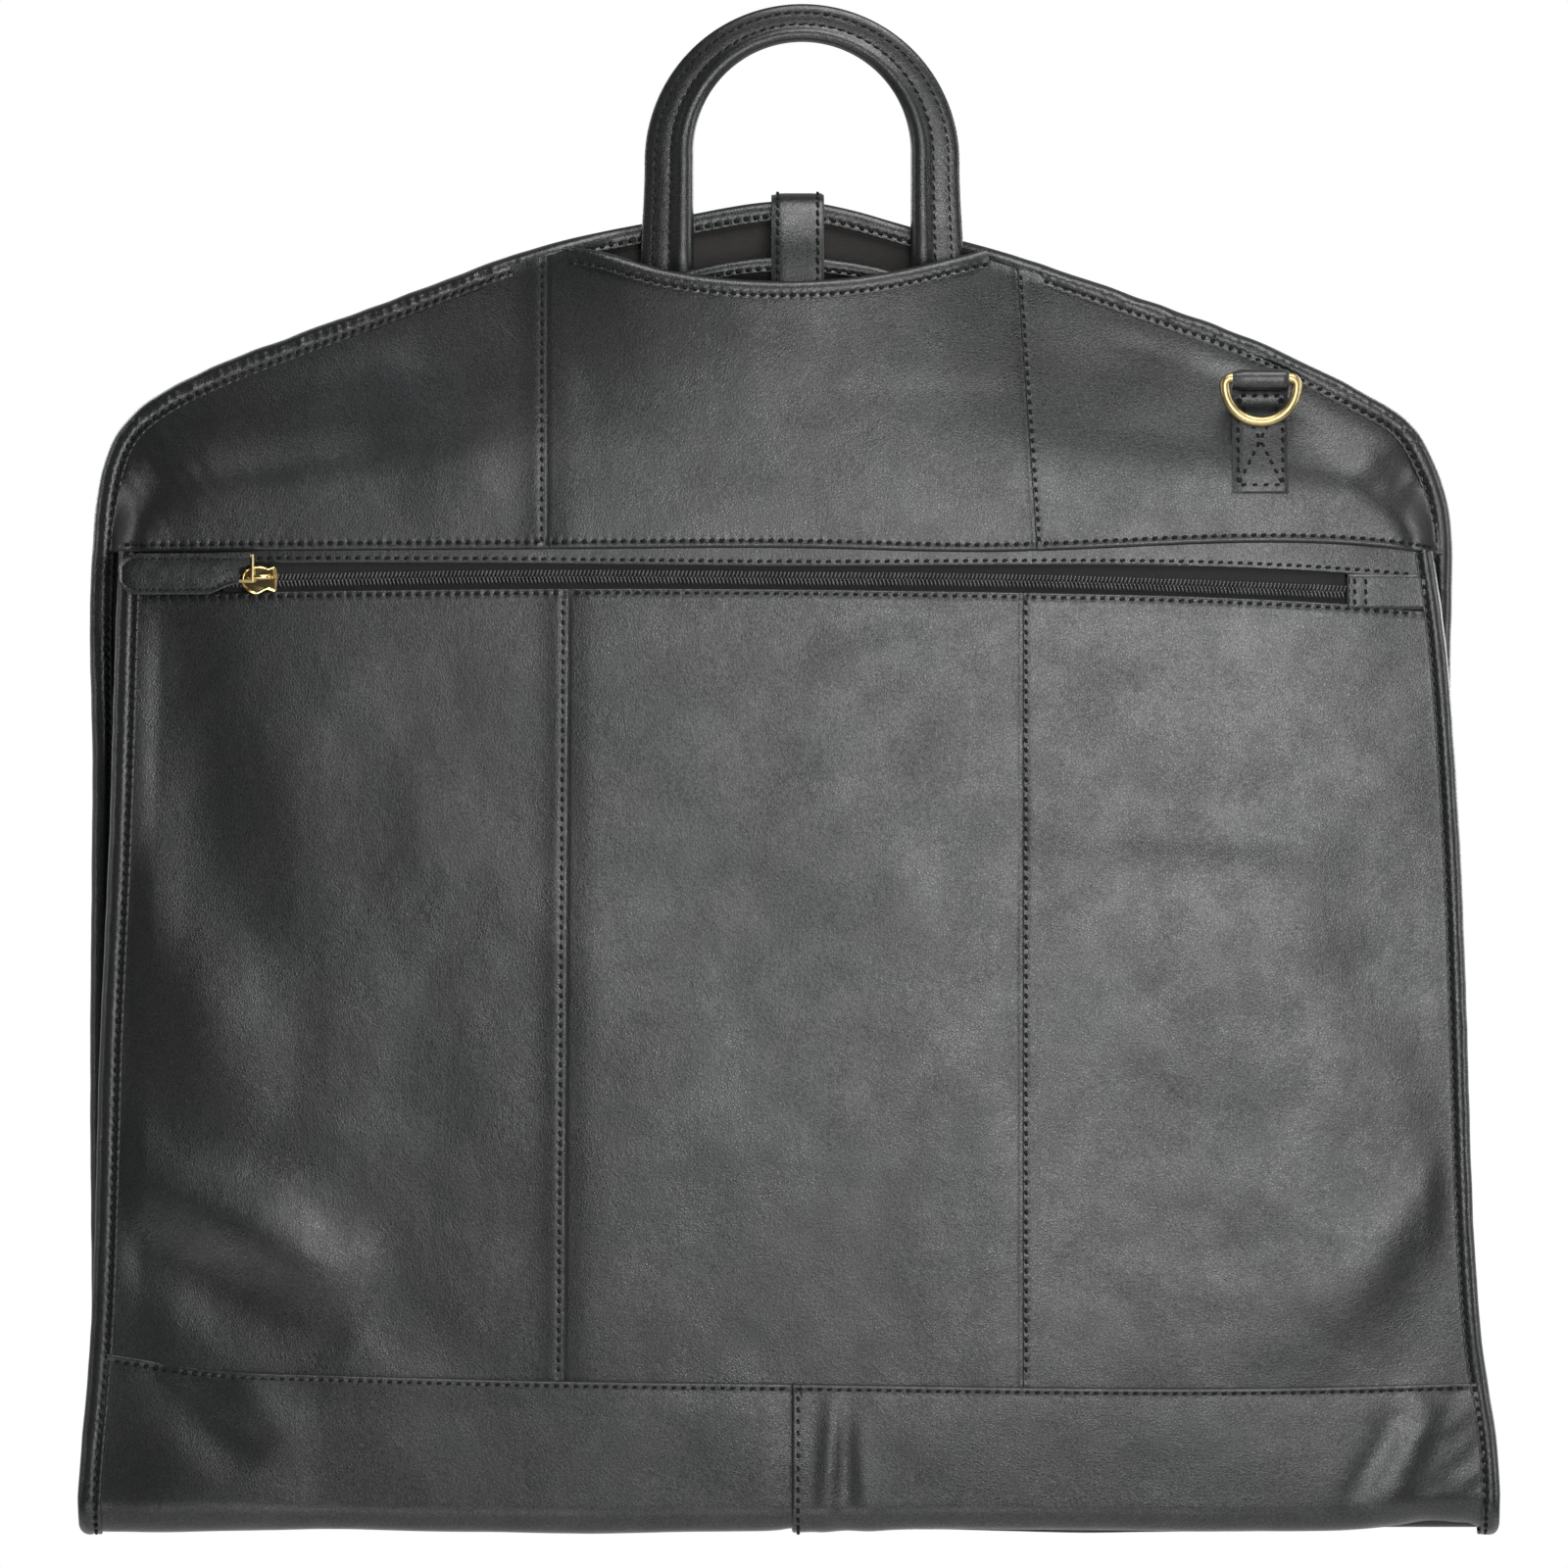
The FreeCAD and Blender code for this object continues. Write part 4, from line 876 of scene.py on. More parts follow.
def upper_binding():
    """The whole binding of the upper half, down to the middle of the fold at both sides."""
    keep = edge[:, 1] > FOLD_CENTRE
    z = edge[keep, 1]
    y = np.where(z < 60, FOLD_TURN + (edge_y[keep] - FOLD_TURN) * ramp(z, 15, 60), edge_y[keep])
    inward = points_of(edge_inward[keep, 0], 0.0, edge_inward[keep, 1])
    straight = (points_of(edge[keep, 0], y, z), inward, each((0, 1, 0), len(z)))
    left = side_turn(-1, 92, 4)
    right = side_turn(1, 4, 92)
    parts = [np.concatenate(group) for group in zip(left, straight, right)]
    return (*parts, *(np.pad(values[keep], len(left[0]), mode="edge") for values in (edge_half, edge_width)))


def lower_edge_strip(side):
    """The lower half's binding at one side, from the middle of the fold up under the yoke."""
    z = np.arange(FOLD_CENTRE + 1.0, 403.0, 1.0)
    x = lower_left(z) if side < 0 else lower_right(z)
    flat = tangents(points_of(x, z))
    line = points_of(x, -FOLD_TURN + (LOWER_EDGE_Y + FOLD_TURN) * ramp(z, 15, 60), z)
    straight = (line, points_of(-side * flat[:, 1], 0.0, side * flat[:, 0]), each((0, -1, 0), len(z)))
    parts = [np.concatenate(group) for group in zip(side_turn(side, 88, 176), straight)]
    count = len(parts[0])
    return (*parts, np.full(count, BINDING_HALF), np.full(count, 9.5 if side < 0 else 7.6))


def to_fold(piece, front=False):
    """Bakes a piece's placement into its mesh; front makes no difference."""
    if front:
        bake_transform(piece)
    else:
        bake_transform(piece)


def finer(strip, step=1.0):
    """The strip's rows again, an even step apart."""
    s = lengths(strip[0])
    at = np.linspace(0, s[-1], int(s[-1] / step) + 1)
    return [sample(values, s, at) for values in strip]


strip = finer(upper_binding())
x, _, z = strip[0].T
shoulder = 0.6 + 1.0 * ramp(z, 425, 450) - 1.25 * ramp(-np.abs(x + 5), -112, -92)
outer_binding = binding("outer_binding_leather", strip, binding_leather, gather=shoulder)
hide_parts("outer_binding", "fold_binding")
to_fold(outer_binding)

SEWN_FROM = 34  # height where the fold's stitches end and the halves' begin
back_row, back_out = binding_row(strip, 1)
front_row, front_out = binding_row(strip, -1)
upper_sewing.row(back_row[z > SEWN_FROM], back_out[z > SEWN_FROM])
along_yoke = np.flatnonzero((z > 392) & ~((np.abs(x + 4) < 86) & (z > 500)))
behind_mouth = np.flatnonzero((np.abs(x + 4) < 80) & (z > 500))
below_yoke = [np.flatnonzero((z > SEWN_FROM) & (z < 385) & (x * side > 0)) for side in (-1, 1)]
gaps = np.flatnonzero(np.diff(along_yoke) > 1)
for part in (*np.split(along_yoke, gaps + 1), behind_mouth, *below_yoke):
    upper_sewing.row(front_row[part], front_out[part])
for side in (-1, 1):
    part = (z <= SEWN_FROM) & (x * side > 0)
    fold_back_sewing.row(back_row[part], back_out[part])
    fold_back_sewing.row(front_row[part], front_out[part])

for side, word in ((-1, "left"), (1, "right")):
    strip = finer(lower_edge_strip(side))
    made = binding(f"lower_binding_{word}_leather", strip, binding_leather, gather=0.7, seed=71 + side)
    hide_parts(f"lower_binding_{word}")
    to_fold(made, front=True)
    for face in (-1, 1):
        line, out = binding_row(strip, face)
        high = line[:, 2] > SEWN_FROM
        lower_sewing.row(line[high], out[high])
        fold_front_sewing.row(line[~high], out[~high])


def rim_binding(name, line, width, half, seed=81):
    """A narrow binding over the top edge of a panel, sewn on both faces."""
    flat = tangents(line[:, [0, 2]])
    s = lengths(line)
    halves = half * (0.5 + 0.5 * ramp(np.minimum(s, s[-1] - s), 0, 14))
    inward = points_of(flat[:, 1], 0.0, -flat[:, 0])
    strip = (line, inward, each((0, 1, 0), len(line)), halves, np.full(len(line), width))
    made = binding(f"{name}_leather", strip, binding_leather, 1.1, 0.3, seed)
    stand_for(made, "binding_leather", "upper_half", name)
    for face in (-1, 1):
        upper_sewing.row(*binding_row(strip, face))


x, z = even(smooth_line(MOUTH_TOP), 260).T
rim_binding("mouth_binding", points_of(x, yoke_base(x, z - 4)[0] + 0.9, z), MOUTH_WIDTH, 2.6)
x, z = even(smooth_line(ARCH_TOP), 130).T
rim_binding("arch_binding", points_of(x, INNER_FACE + 0.5, z), ARCH_WIDTH, 1.9, seed=85)

# ---- upper half: back, lining, inner front -------------------------------------------------------


def edge_between(start, stop, inset):
    """The upper outline from one place to another, moved inward."""
    part = slice(edge_index(*start), edge_index(*stop) + 1)
    return edge[part] + edge_inward[part] * inset


CORNER_LEFT = (-270, 456)
CORNER_RIGHT = (258, 450)
INNER_TOP = 521.5  # the inner front's top at the zip, under the arch's binding


def upper_grid(bottom_z, inset, step, top=None):
    """Grid of (x, z) over the whole upper half; top(line) may lower the top edge."""
    left = edge_between((-288, bottom_z), CORNER_LEFT, inset)
    right = edge_between(CORNER_RIGHT, (288, bottom_z), inset)[::-1]
    upper = edge_between(CORNER_LEFT, CORNER_RIGHT, inset)
    if top is not None:
        upper = top(upper)
    bottom = even(np.array([left[0], right[0]]), 200)
    across = np.linspace(0, 1, int(560 / step))
    upward = np.linspace(0, 1, int((520 - bottom_z) / step))
    return coons(bottom, upper, left, right, across, upward)


def below_arch(line):
    """The inner front's top edge: level beside the arch, then up to it."""
    line = line.copy()
    x = line[:, 0]
    arch = np.where(np.abs(x) < 60, arch_z(x) - 1.2, 510.0)
    line[:, 1] = np.minimum(line[:, 1], arch)
    return line


x, z = upper_grid(54.0, 3.0, 3.4)
back = shell("back_panel_leather", points_of(x, back_y(x, z), z), LEATHER, leather, (0, -1, 0))
stand_for(back, "leather", "upper_half", "back_panel")

x, z = upper_grid(20.0, 4.0, 5.0)
y = back_y(x, z) - LEATHER - 0.5
crease = 0.5 * bump(x + 35, 1.5)
back_lining = shell("back_lining_twill", points_of(x, y - crease, z), LINING, lining, (0, 1, 0))
stand_for(back_lining, "lining", "upper_half", "back_lining")

ZIP_X = 3.6
ZIP_TOP = node_box("main_zip_tapes")[1][2]
LOWER_ZIP_TOP = node_box("lower_zip_tapes")[1][2]
SLOT_HALF = 5.0
SLOT_SEWN = SLOT_HALF + 1.8  # from the zip's middle to the stitches beside its slot


def zip_side(side, z, top):
    """X of an inner front's edge beside the main zip's slot, which closes at the top."""
    return ZIP_X + side * (SLOT_HALF * (1 - ramp(z, top - 6, top)) + 0.1)


def inner_half(side):
    """Half of the upper half's inner front, beside the main zip."""
    top = below_arch(edge_between(CORNER_LEFT, CORNER_RIGHT, 4.0))
    middle_top = [[ZIP_X, INNER_TOP]]
    if side < 0:
        outer = edge_between((-288, 30), CORNER_LEFT, 4.0)
        top = np.concatenate([top[top[:, 0] < ZIP_X], middle_top])
    else:
        outer = edge_between(CORNER_RIGHT, (288, 30), 4.0)[::-1]
        top = np.concatenate([middle_top, top[top[:, 0] > ZIP_X]])
    z = np.linspace(30, INNER_TOP, 300)
    inner = points_of(zip_side(side, z, ZIP_TOP), z)
    bottom = even(np.array([outer[0], inner[0]] if side < 0 else [inner[0], outer[0]]), 60)
    left, right = (outer, inner) if side < 0 else (inner, outer)
    across = fractions(290, 5.0, 0 if side < 0 else 12, 12 if side < 0 else 0)
    return coons(bottom, top, left, right, across, np.linspace(0, 1, 150))


for side, word in ((-1, "left"), (1, "right")):
    x, z = inner_half(side)
    y = inner_y(x, z) + edge_roll(np.abs(np.abs(x - ZIP_X) - SLOT_HALF), 0.8) * (z < ZIP_TOP)
    made = shell(f"inner_front_{word}_cloth", points_of(x, y, z), LINING + 0.4, inner_cloth, (0, 1, 0))
    stand_for(made, "inner_cloth", "upper_half", f"inner_front_{word}")
    line_z = np.linspace(36, ZIP_TOP - 4, 200)
    line_x = np.full(200, ZIP_X + side * SLOT_SEWN)
    upper_sewing.row(points_of(line_x, inner_y(line_x, line_z) - 0.05, line_z), (0, -1, 0))

# ---- upper half: yoke ----------------------------------------------------------------------------


def yoke_stitches(line_x, line_z, offset):
    line = points_of(line_x, yoke_y(line_x, line_z) + offset, line_z)
    upper_sewing.row(line, (0, -1, 0))


def lap_relief(left, right, z, side):
    """What two lapped seams add to a panel's Y, at distances to the right of one and to the left of the
    other: the centre (side 0) sinks under the side pieces, and they rise over it to a sewn edge."""
    if side == 0:
        return sum(0.65 * bump(away, 7) + 0.4 * bump(away - 0.6, 0.8) for away in (left, right))
    away = -left if side < 0 else -right
    return edge_roll(away, 0.6) + pucker(away - SEAM_ROW, z) - 0.65 * bump(away, 7)


def yoke_surface(x, z, side):
    """Y of a yoke piece's outer face; side is 0 for the centre, which lies under both side pieces."""
    y = yoke_y(x, z)
    left = x - YOKE_SEAM_LEFT
    right = seam_x(YOKE_SEAM_RIGHT, z) - x
    hem = z - yoke_hem_z(x)
    y = y + edge_roll(hem, 1.4) * 1.2 + pucker(hem - 3.2, x) - 0.35 * bump(hem - 1.6, 1.4)
    return y + lap_relief(left, right, z, side)


def yoke_side(side):
    if side < 0:
        outer = edge_between((-283, 402), CORNER_LEFT, 4.5)
        top = edge_between(CORNER_LEFT, (YOKE_SEAM_LEFT, 527.5), 4.5)
        inner_z = np.linspace(yoke_hem_z(YOKE_SEAM_LEFT), top[-1, 1], 60)
        inner = points_of(YOKE_SEAM_LEFT, inner_z)
        low_x = np.linspace(outer[0, 0], YOKE_SEAM_LEFT, 120)
    else:
        outer = edge_between(CORNER_RIGHT, (270.5, 399), 4.5)[::-1]
        top = edge_between((seam_x(YOKE_SEAM_RIGHT, 519), 523.5), CORNER_RIGHT, 4.5)
        inner_z = np.linspace(yoke_hem_z(YOKE_SEAM_RIGHT[1][0]), top[0, 1], 60)
        inner = points_of(seam_x(YOKE_SEAM_RIGHT, inner_z), inner_z)
        inner[-1] = top[0]
        low_x = np.linspace(inner[0, 0], outer[0, 0], 120)
    bottom = points_of(low_x, yoke_hem_z(low_x))
    outer[0, 1] = yoke_hem_z(outer[0, 0])
    left, right = (outer, inner) if side < 0 else (inner, outer)
    across = fractions(185, PANEL_STEP, 0 if side < 0 else 10, 10 if side < 0 else 0)
    return coons(bottom, top, left, right, across, fractions(120, PANEL_STEP, 8, 0))


for side, word in ((-1, "left"), (1, "right")):
    x, z = yoke_side(side)
    y = yoke_surface(x, z, side)
    made = shell(f"yoke_{word}_leather", points_of(x, y, z), LEATHER, leather, (0, 1, 0))
    stand_for(made, "leather", "upper_half", f"yoke_{word}")


def yoke_top_z(x):
    top = even(edge_between((-125, 519), (125, 513), 5.0), 400)
    outline = np.interp(x, top[:, 0], top[:, 1])
    inside = (x > -86) & (x < 79)
    return np.where(inside, np.minimum(mouth_z(x) - 2.0, outline), outline)


x, z = between(
    level(YOKE_SEAM_LEFT - SEAM_LAP),
    lambda z: seam_x(YOKE_SEAM_RIGHT, z) + SEAM_LAP,
    yoke_hem_z,
    yoke_top_z,
    fractions(210, PANEL_STEP, 14, 14),
    fractions(115, PANEL_STEP, 8, 0),
)
y = yoke_surface(x, z, 0)
yoke_centre = shell("yoke_centre_leather", points_of(x, y, z), LEATHER, leather, (0, 1, 0))
stand_for(yoke_centre, "leather", "upper_half", "yoke_centre")

for start, stop in ((-272, YOKE_SEAM_LEFT - 1), (YOKE_SEAM_LEFT + 2, 99), (103, 263)):
    row_x = np.linspace(start, stop, 150)
    lap = -0.55 if start < -200 or start > 100 else 0.0
    yoke_stitches(
        row_x, yoke_hem_z(row_x) + 3.2, lap * bump(np.minimum(row_x - start, stop - row_x), 8) - 0.05
    )
row_z = np.linspace(405, 521, 120)
yoke_stitches(np.full(120, YOKE_SEAM_LEFT - SEAM_ROW), row_z, -0.5)
row_z = np.linspace(405, 516, 120)
yoke_stitches(seam_x(YOKE_SEAM_RIGHT, row_z) + SEAM_ROW, row_z, -0.5)

# ---- lower half: pocket front --------------------------------------------------------------------

HALF_INSET = 3.0
ZIP_START, ZIP_STOP = node_box("pocket_zip_coil")[0][0], node_box("pocket_zip_coil")[1][0]


def lower_side(side, inset=HALF_INSET):
    return lambda z: (lower_left(z) + inset) if side < 0 else (lower_right(z) - inset)


def pocket_surface(x, z, side):
    """Y of a pocket piece's outer face; side is 0 for the centre, which lies under both side pieces."""
    y = pocket_y(x, z)
    left = x - seam_x(POCKET_SEAM_LEFT, z)
    right = POCKET_SEAM_RIGHT - x
    top = pocket_top_z(x) - z
    y = y + edge_roll(top, 1.3) * 1.1 + pucker(top - 2.0, x) - 0.3 * bump(top - 4.5, 3)
    return y + lap_relief(left, right, z, side)


def under_band(x):
    return hem_z(x) - 8.0


pocket_sides = {
    -1: (lower_side(-1), lambda z: seam_x(POCKET_SEAM_LEFT, z)),
    0: (lambda z: seam_x(POCKET_SEAM_LEFT, z) - SEAM_LAP, level(POCKET_SEAM_RIGHT + SEAM_LAP)),
    1: (level(POCKET_SEAM_RIGHT), lower_side(1)),
}
pocket_fine = {-1: (0, 10), 0: (14, 14), 1: (10, 0)}
for side, word in ((-1, "left"), (0, "centre"), (1, "right")):
    left, right = pocket_sides[side]
    across = fractions(190, PANEL_STEP, *pocket_fine[side])
    x, z = between(left, right, under_band, pocket_top_z, across, fractions(330, PANEL_STEP, 0, 8))
    points = points_of(x, pocket_surface(x, z, side), z)
    made = shell(f"pocket_{word}_leather", points, LEATHER, leather, (0, 1, 0))
    stand_for(made, "leather", "lower_half", f"pocket_panel_{word}")


def facing_top(x):
    return yoke_hem_z(x) + 1.5


sides = (lower_side(-1), lower_side(1))
x, z = between(*sides, facing_z, facing_top, fractions(530, PANEL_STEP), fractions(8, 0.7, 0.1, 0.1))
low = z - facing_z(x)
y = pocket_y(x, z) + 0.35 + edge_roll(low, 1.2) + pucker(low - 2.2, x, 0.22, 1.2)
zip_facing = shell("zip_facing_leather", points_of(x, y, z), LEATHER, leather, (0, 1, 0))
stand_for(zip_facing, "leather", "lower_half", "zip_facing")


def lower_row(line_x, line_z, offset=0.0):
    y = pocket_y(line_x, line_z) + offset
    lower_sewing.row(points_of(line_x, y, line_z), (0, -1, 0))


row_x = np.linspace(-262, 254, 300)
lower_row(row_x, facing_z(row_x) + 2.2, 0.3)
for start, stop in ((-262, -93), (-88, 94), (98, 254)):
    row_x = np.linspace(start, stop, 150)
    lower_row(row_x, pocket_top_z(row_x) - 2.0, -0.15 * (1 if start < -200 or start > 95 else 0))
row_z = np.linspace(66, 383, 300)
lower_row(seam_x(POCKET_SEAM_LEFT, row_z) - SEAM_ROW, row_z, -0.5)
lower_row(np.full(300, POCKET_SEAM_RIGHT + SEAM_ROW), row_z, -0.5)

# tucked-in top end of the lower half and the inner cloths
row_x = np.linspace(-268, 258, 240)
front_y = pocket_y(row_x, np.full(240, 398.0))
inner_face_y = lower_inner_y(row_x, np.full(240, 398.0))
depth = (front_y - inner_face_y) / 2
middle = (front_y + inner_face_y) / 2
ends = []
for a in np.linspace(0, math.pi, 9):
    end_z = yoke_hem_z(row_x) - 4.5 + 5.2 * math.sin(a)
    ends.append(points_of(row_x, middle + (depth + 1.3) * math.cos(a), end_z))
end_cap = shell("lower_end_leather", np.stack(ends, axis=1), LEATHER, leather, (0, 0, -1))
stand_for(end_cap, "binding_leather", "lower_half", "lower_end")

for side, word in ((-1, "left"), (1, "right")):
    def beside_zip(z, side=side):
        return zip_side(side, z, LOWER_ZIP_TOP)

    left, right = (lower_side(-1), beside_zip) if side < 0 else (beside_zip, lower_side(1))
    across = fractions(280, 5.0, *((0, 12) if side < 0 else (12, 0)))
    x, z = between(left, right, level(30.0), lambda x: yoke_hem_z(x) - 3.5, across, fractions(368, 3.4))
    y = lower_inner_y(x, z) - edge_roll(np.abs(np.abs(x - ZIP_X) - SLOT_HALF), 0.8) * (z < LOWER_ZIP_TOP)
    made = shell(f"lower_front_{word}_cloth", points_of(x, y, z), LINING + 0.4, inner_cloth, (0, -1, 0))
    stand_for(made, "inner_cloth", "lower_half", f"lower_front_{word}")
    line_z = np.linspace(36, LOWER_ZIP_TOP - 4, 200)
    line_x = np.full(200, ZIP_X + side * SLOT_SEWN)
    lower_sewing.row(points_of(line_x, lower_inner_y(line_x, line_z) + 0.05, line_z), (0, 1, 0))

pocket_back = node_box("pocket_lining")[0][1]
sides = (lower_side(-1, 6), lower_side(1, 6))
x, z = between(*sides, level(24.0), lambda x: facing_z(x) - 1.0, fractions(530, 6.0), fractions(370, 6.0))
y = pocket_back + 0.6 * noise(x, z, 60, 51) * ramp(np.minimum(x - lower_left(z), lower_right(z) - x), 8, 40)
pocket_lining = shell("pocket_lining_twill", points_of(x, y, z), LINING, lining, (0, 1, 0))
stand_for(pocket_lining, "lining", "lower_half", "pocket_lining")

# ---- bottom band, round the fold -----------------------------------------------------------------

BAND_RADIUS = 11.0
BAND_LIFT = 1.5
END_RADIUS = FOLD_TURN + BINDING_HALF - LEATHER  # the band's corner where it lies under the binding
END_INSET = 3.5
BAND_END = 286.0


def band_edge(z, back):
    """Half the bag's width at a height, at the side of the band."""
    if back:
        return np.interp(z, edge[:200, 1], -edge[:200, 0])
    z = np.maximum(z, 0)
    return (lower_right(z) - lower_left(z)) / 2


def band_end(x):
    """1 where the band lies under the side binding, 0 from about 40 mm inside it."""
    return np.exp(-((np.maximum(289.5 - np.abs(x) - 8, 0) / 30) ** 1.25))


def band_wall(x, z, back):
    """How far the band's outer face stands out from the gap, at the back or the front."""
    near = back_y(x, level(66.0)(x)) if back else -pocket_y(x, level(66.0)(x))
    middle = near + LEATHER + BAND_LIFT
    end_top = (UPPER_EDGE_Y if back else -LOWER_EDGE_Y) + BINDING_HALF - LEATHER + 0.9
    share = band_end(x)
    high = middle * (1 - share) + end_top * share
    low = (YOKE_OUT + LEATHER) * (1 - share) + END_RADIUS * share
    return low + (high - low) * ramp(z, 15, 62)


def band_floor(x):
    """Height of the fold's underside; it lifts a little near the right end."""
    lift = 3.2 * bump(x - 262, 22) + 0.8 * bump(x + 230, 40) + 0.5 * np.sin(x / 37.0)
    return 1.5 + np.maximum(lift, -0.4) * ramp(290 - np.abs(x), 0, 14)


def band_point(x, share, back):
    """A point of the band's outer face; share runs from 0 at the middle of the fold to 1 at the hem."""
    wall = band_wall(x, level(15.0)(x), back)
    floor = band_floor(x)
    radius = BAND_RADIUS + (END_RADIUS - BAND_RADIUS) * band_end(x)
    flat = wall - radius
    turn = radius * math.pi / 2
    upright = hem_z(x) - floor - radius
    c = share * (flat + turn + upright)
    a = np.clip((c - flat) / radius, 0, math.pi / 2)
    z = floor + radius * (1 - np.cos(a)) + np.maximum(c - flat - turn, 0)
    y = np.minimum(c, flat) + radius * np.sin(a) + band_wall(x, z, back) - wall
    narrow = (band_edge(z, back) - END_INSET) / BAND_END
    return points_of(x * narrow, y if back else -y, z)


def band_relief(x, points, share, side, back):
    """How far the leather stands out from its even surface."""
    z = points[..., 2]
    under = hem_z(x) - z
    rise = hills(x, z + (300 if back else 0), 91, 0.8) * ramp(290 - np.abs(x), 6, 30) * ramp(under, 0, 14)
    rise = rise + 0.5 * bump(under - 1.2, 1.8) - edge_roll(under, 1.5) * 1.3 - pucker(under - 2.4, x, 0.6)
    away = (BAND_SEAM - x) if side < 0 else (x - BAND_SEAM)
    if side < 0:
        rise = rise - 0.75 * bump(away, 7) - 0.6 * bump(away - 1.2, 1.2)
    else:
        rise = rise + 0.75 * bump(away, 7) - edge_roll(away, 1.2) - pucker(away - 2.6, share * 80)
    if not back:
        rise = rise + folds(x, z, BAND_FOLDS)
        rise = rise + ramp(x, 232, 270) * 0.28 * noise(x * 0.5 + z * 0.5, z - x, 9.0, 95)
    return rise


def band_piece(side, back):
    across = fractions(BAND_END, 2.0, 0 if side < 0 else 10, 10 if side < 0 else 0)
    inner = BAND_SEAM + (SEAM_LAP if side < 0 else 0.0)
    xs = -BAND_END + (inner + BAND_END) * across if side < 0 else inner + (BAND_END - inner) * across
    shares = fractions(78, 1.8, 0, 8)
    x, share = np.meshgrid(xs, shares, indexing="ij")
    points = band_point(x, share, back)
    n = normals_of(points)
    outward = -n if (n[..., 1] * points[..., 1]).mean() < 0 else n
    return points + outward * band_relief(x, points, share, side, back)[..., None], x, share


for side, word in ((-1, "left"), (1, "right")):
    for back in (True, False):
        face = "back" if back else "front"
        out = 1 if back else -1
        points, x, share = band_piece(side, back)
        made = shell(f"band_{word}_{face}_leather", points, LEATHER, leather, (0, -out, 0.6))
        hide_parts(f"band_{word}_{face}", f"band_{word}_fold")
        to_fold(made, front=not back)
        row_x = np.linspace(-276, BAND_SEAM - 2, 240) if side < 0 else np.linspace(BAND_SEAM + 1.5, 276, 240)
        row_y = band_wall(row_x, hem_z(row_x), back) + side * 0.7 * bump(row_x - BAND_SEAM, 7)
        row = points_of(row_x, out * row_y, hem_z(row_x) - 2.2)
        (upper_sewing if back else lower_sewing).row(row, (0, out, 0))

for back in (True, False):
    share = np.linspace(0.0, 0.95, 90)
    row = band_point(np.full(90, BAND_SEAM + 2.6), share, back)
    n = np.gradient(row, axis=0)
    out = points_of(0.0, n[:, 2], -n[:, 1]) * (1 if back else -1)
    out /= np.linalg.norm(out, axis=1)[:, None]
    row = row + out * 0.6
    low = row[:, 2] < 30
    (fold_back_sewing if back else fold_front_sewing).row(row[low], out[low])
    (upper_sewing if back else lower_sewing).row(row[~low], out[~low])


CLOTH_WIDTH = 562.0


def fold_cloth(back):
    """The inner cloth's drop-shaped loop inside the fold."""
    drop = [(INNER_FACE + 0.2, 36), (INNER_FACE + 0.3, 29), (5.6, 17), (6.4, 9), (3.6, 4.6), (0, 3.8)]
    loop = even(smooth_line(drop, 0.5), 26)
    x, z = np.meshgrid(np.linspace(-CLOTH_WIDTH / 2, CLOTH_WIDTH / 2, 170), loop[:, 1], indexing="ij")
    y = loop[:, 0] + 0.35 * noise(x, z, 22, 57) * ramp(z, 36, 26)
    points = points_of(x, y if back else -y, z)
    word = "back" if back else "front"
    made = shell(f"fold_lining_cloth_{word}", points, LINING, inner_cloth, (0, 1 if back else -1, 0.4))
    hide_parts("fold_lining")
    to_fold(made, front=not back)
    return loop


fold_loop = fold_cloth(True)
fold_cloth(False)

# ---- zips ----------------------------------------------------------------------------------------


def coil(name, line, across, out, half=3.2, pitch=1.6, radius=0.6):
    """A closed coil zip: two rows of nylon loops that meet in the middle."""
    loops = Sewing()
    s = lengths(line)
    number = int(s[-1] / pitch)
    for side in (-1, 1):
        at = (np.arange(number) + (0.25 if side < 0 else 0.75)) * s[-1] / number
        centre, along, width, up = (sample(values, s, at) for values in (line, tangents(line), across, out))
        lean = width * math.cos(0.3) * side + along * math.sin(0.3)
        loops.add(
            centre + lean * (half / 2 - 0.25), lean, along, up, (half + 0.5, radius, radius),
            0.9 * ARCH + 0.35,
        )
    return loops.make(name, material=nylon)


TAPE_NEAR = 0.2  # edges of a tape, from the zip's middle
TAPE_FAR = 11.0


def tape(name, line, across, out):
    """Both tapes of a zip."""
    pieces = []
    for side in (-1, 1):
        reach = side * np.linspace(TAPE_NEAR, TAPE_FAR, 7)
        face = line[:, None, :] + across[:, None, :] * reach[None, :, None]
        pieces.append(shell("tape", face, 0.55, zip_cloth, -out[len(out) // 2]))
    made = joined(name, pieces)
    return made


row_x = np.linspace(ZIP_START, ZIP_STOP, 240)
zip_y = pocket_y(row_x, coil_z(row_x)) + 2.0
strip = (points_of(row_x, zip_y, coil_z(row_x)), each((0, 0, 1), 240), each((0, -1, 0), 240))
POCKET_ZIP = (
    (coil, "pocket_zip_coil_loops", "pocket_zip_coil"), (tape, "zip_tape_cloth", "pocket_zip_tapes")
)
for build, name, node in POCKET_ZIP:
    made = build(name, *strip)
    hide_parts(node)
    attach(made, "lower_half")


def main_zip(name, line, out, node, body, front=None):
    """A length of the main zip; without a body its placement is baked into its mesh."""
    across = each((1, 0, 0), len(line))
    for build, word, part in ((coil, "coil_loops", "coil"), (tape, "tapes", "tapes")):
        made = build(f"{name}_{word}", line, across, out)
        if node:
            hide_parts(f"{node}_{part}")
        if body:
            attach(made, body)
        else:
            to_fold(made, front=front)


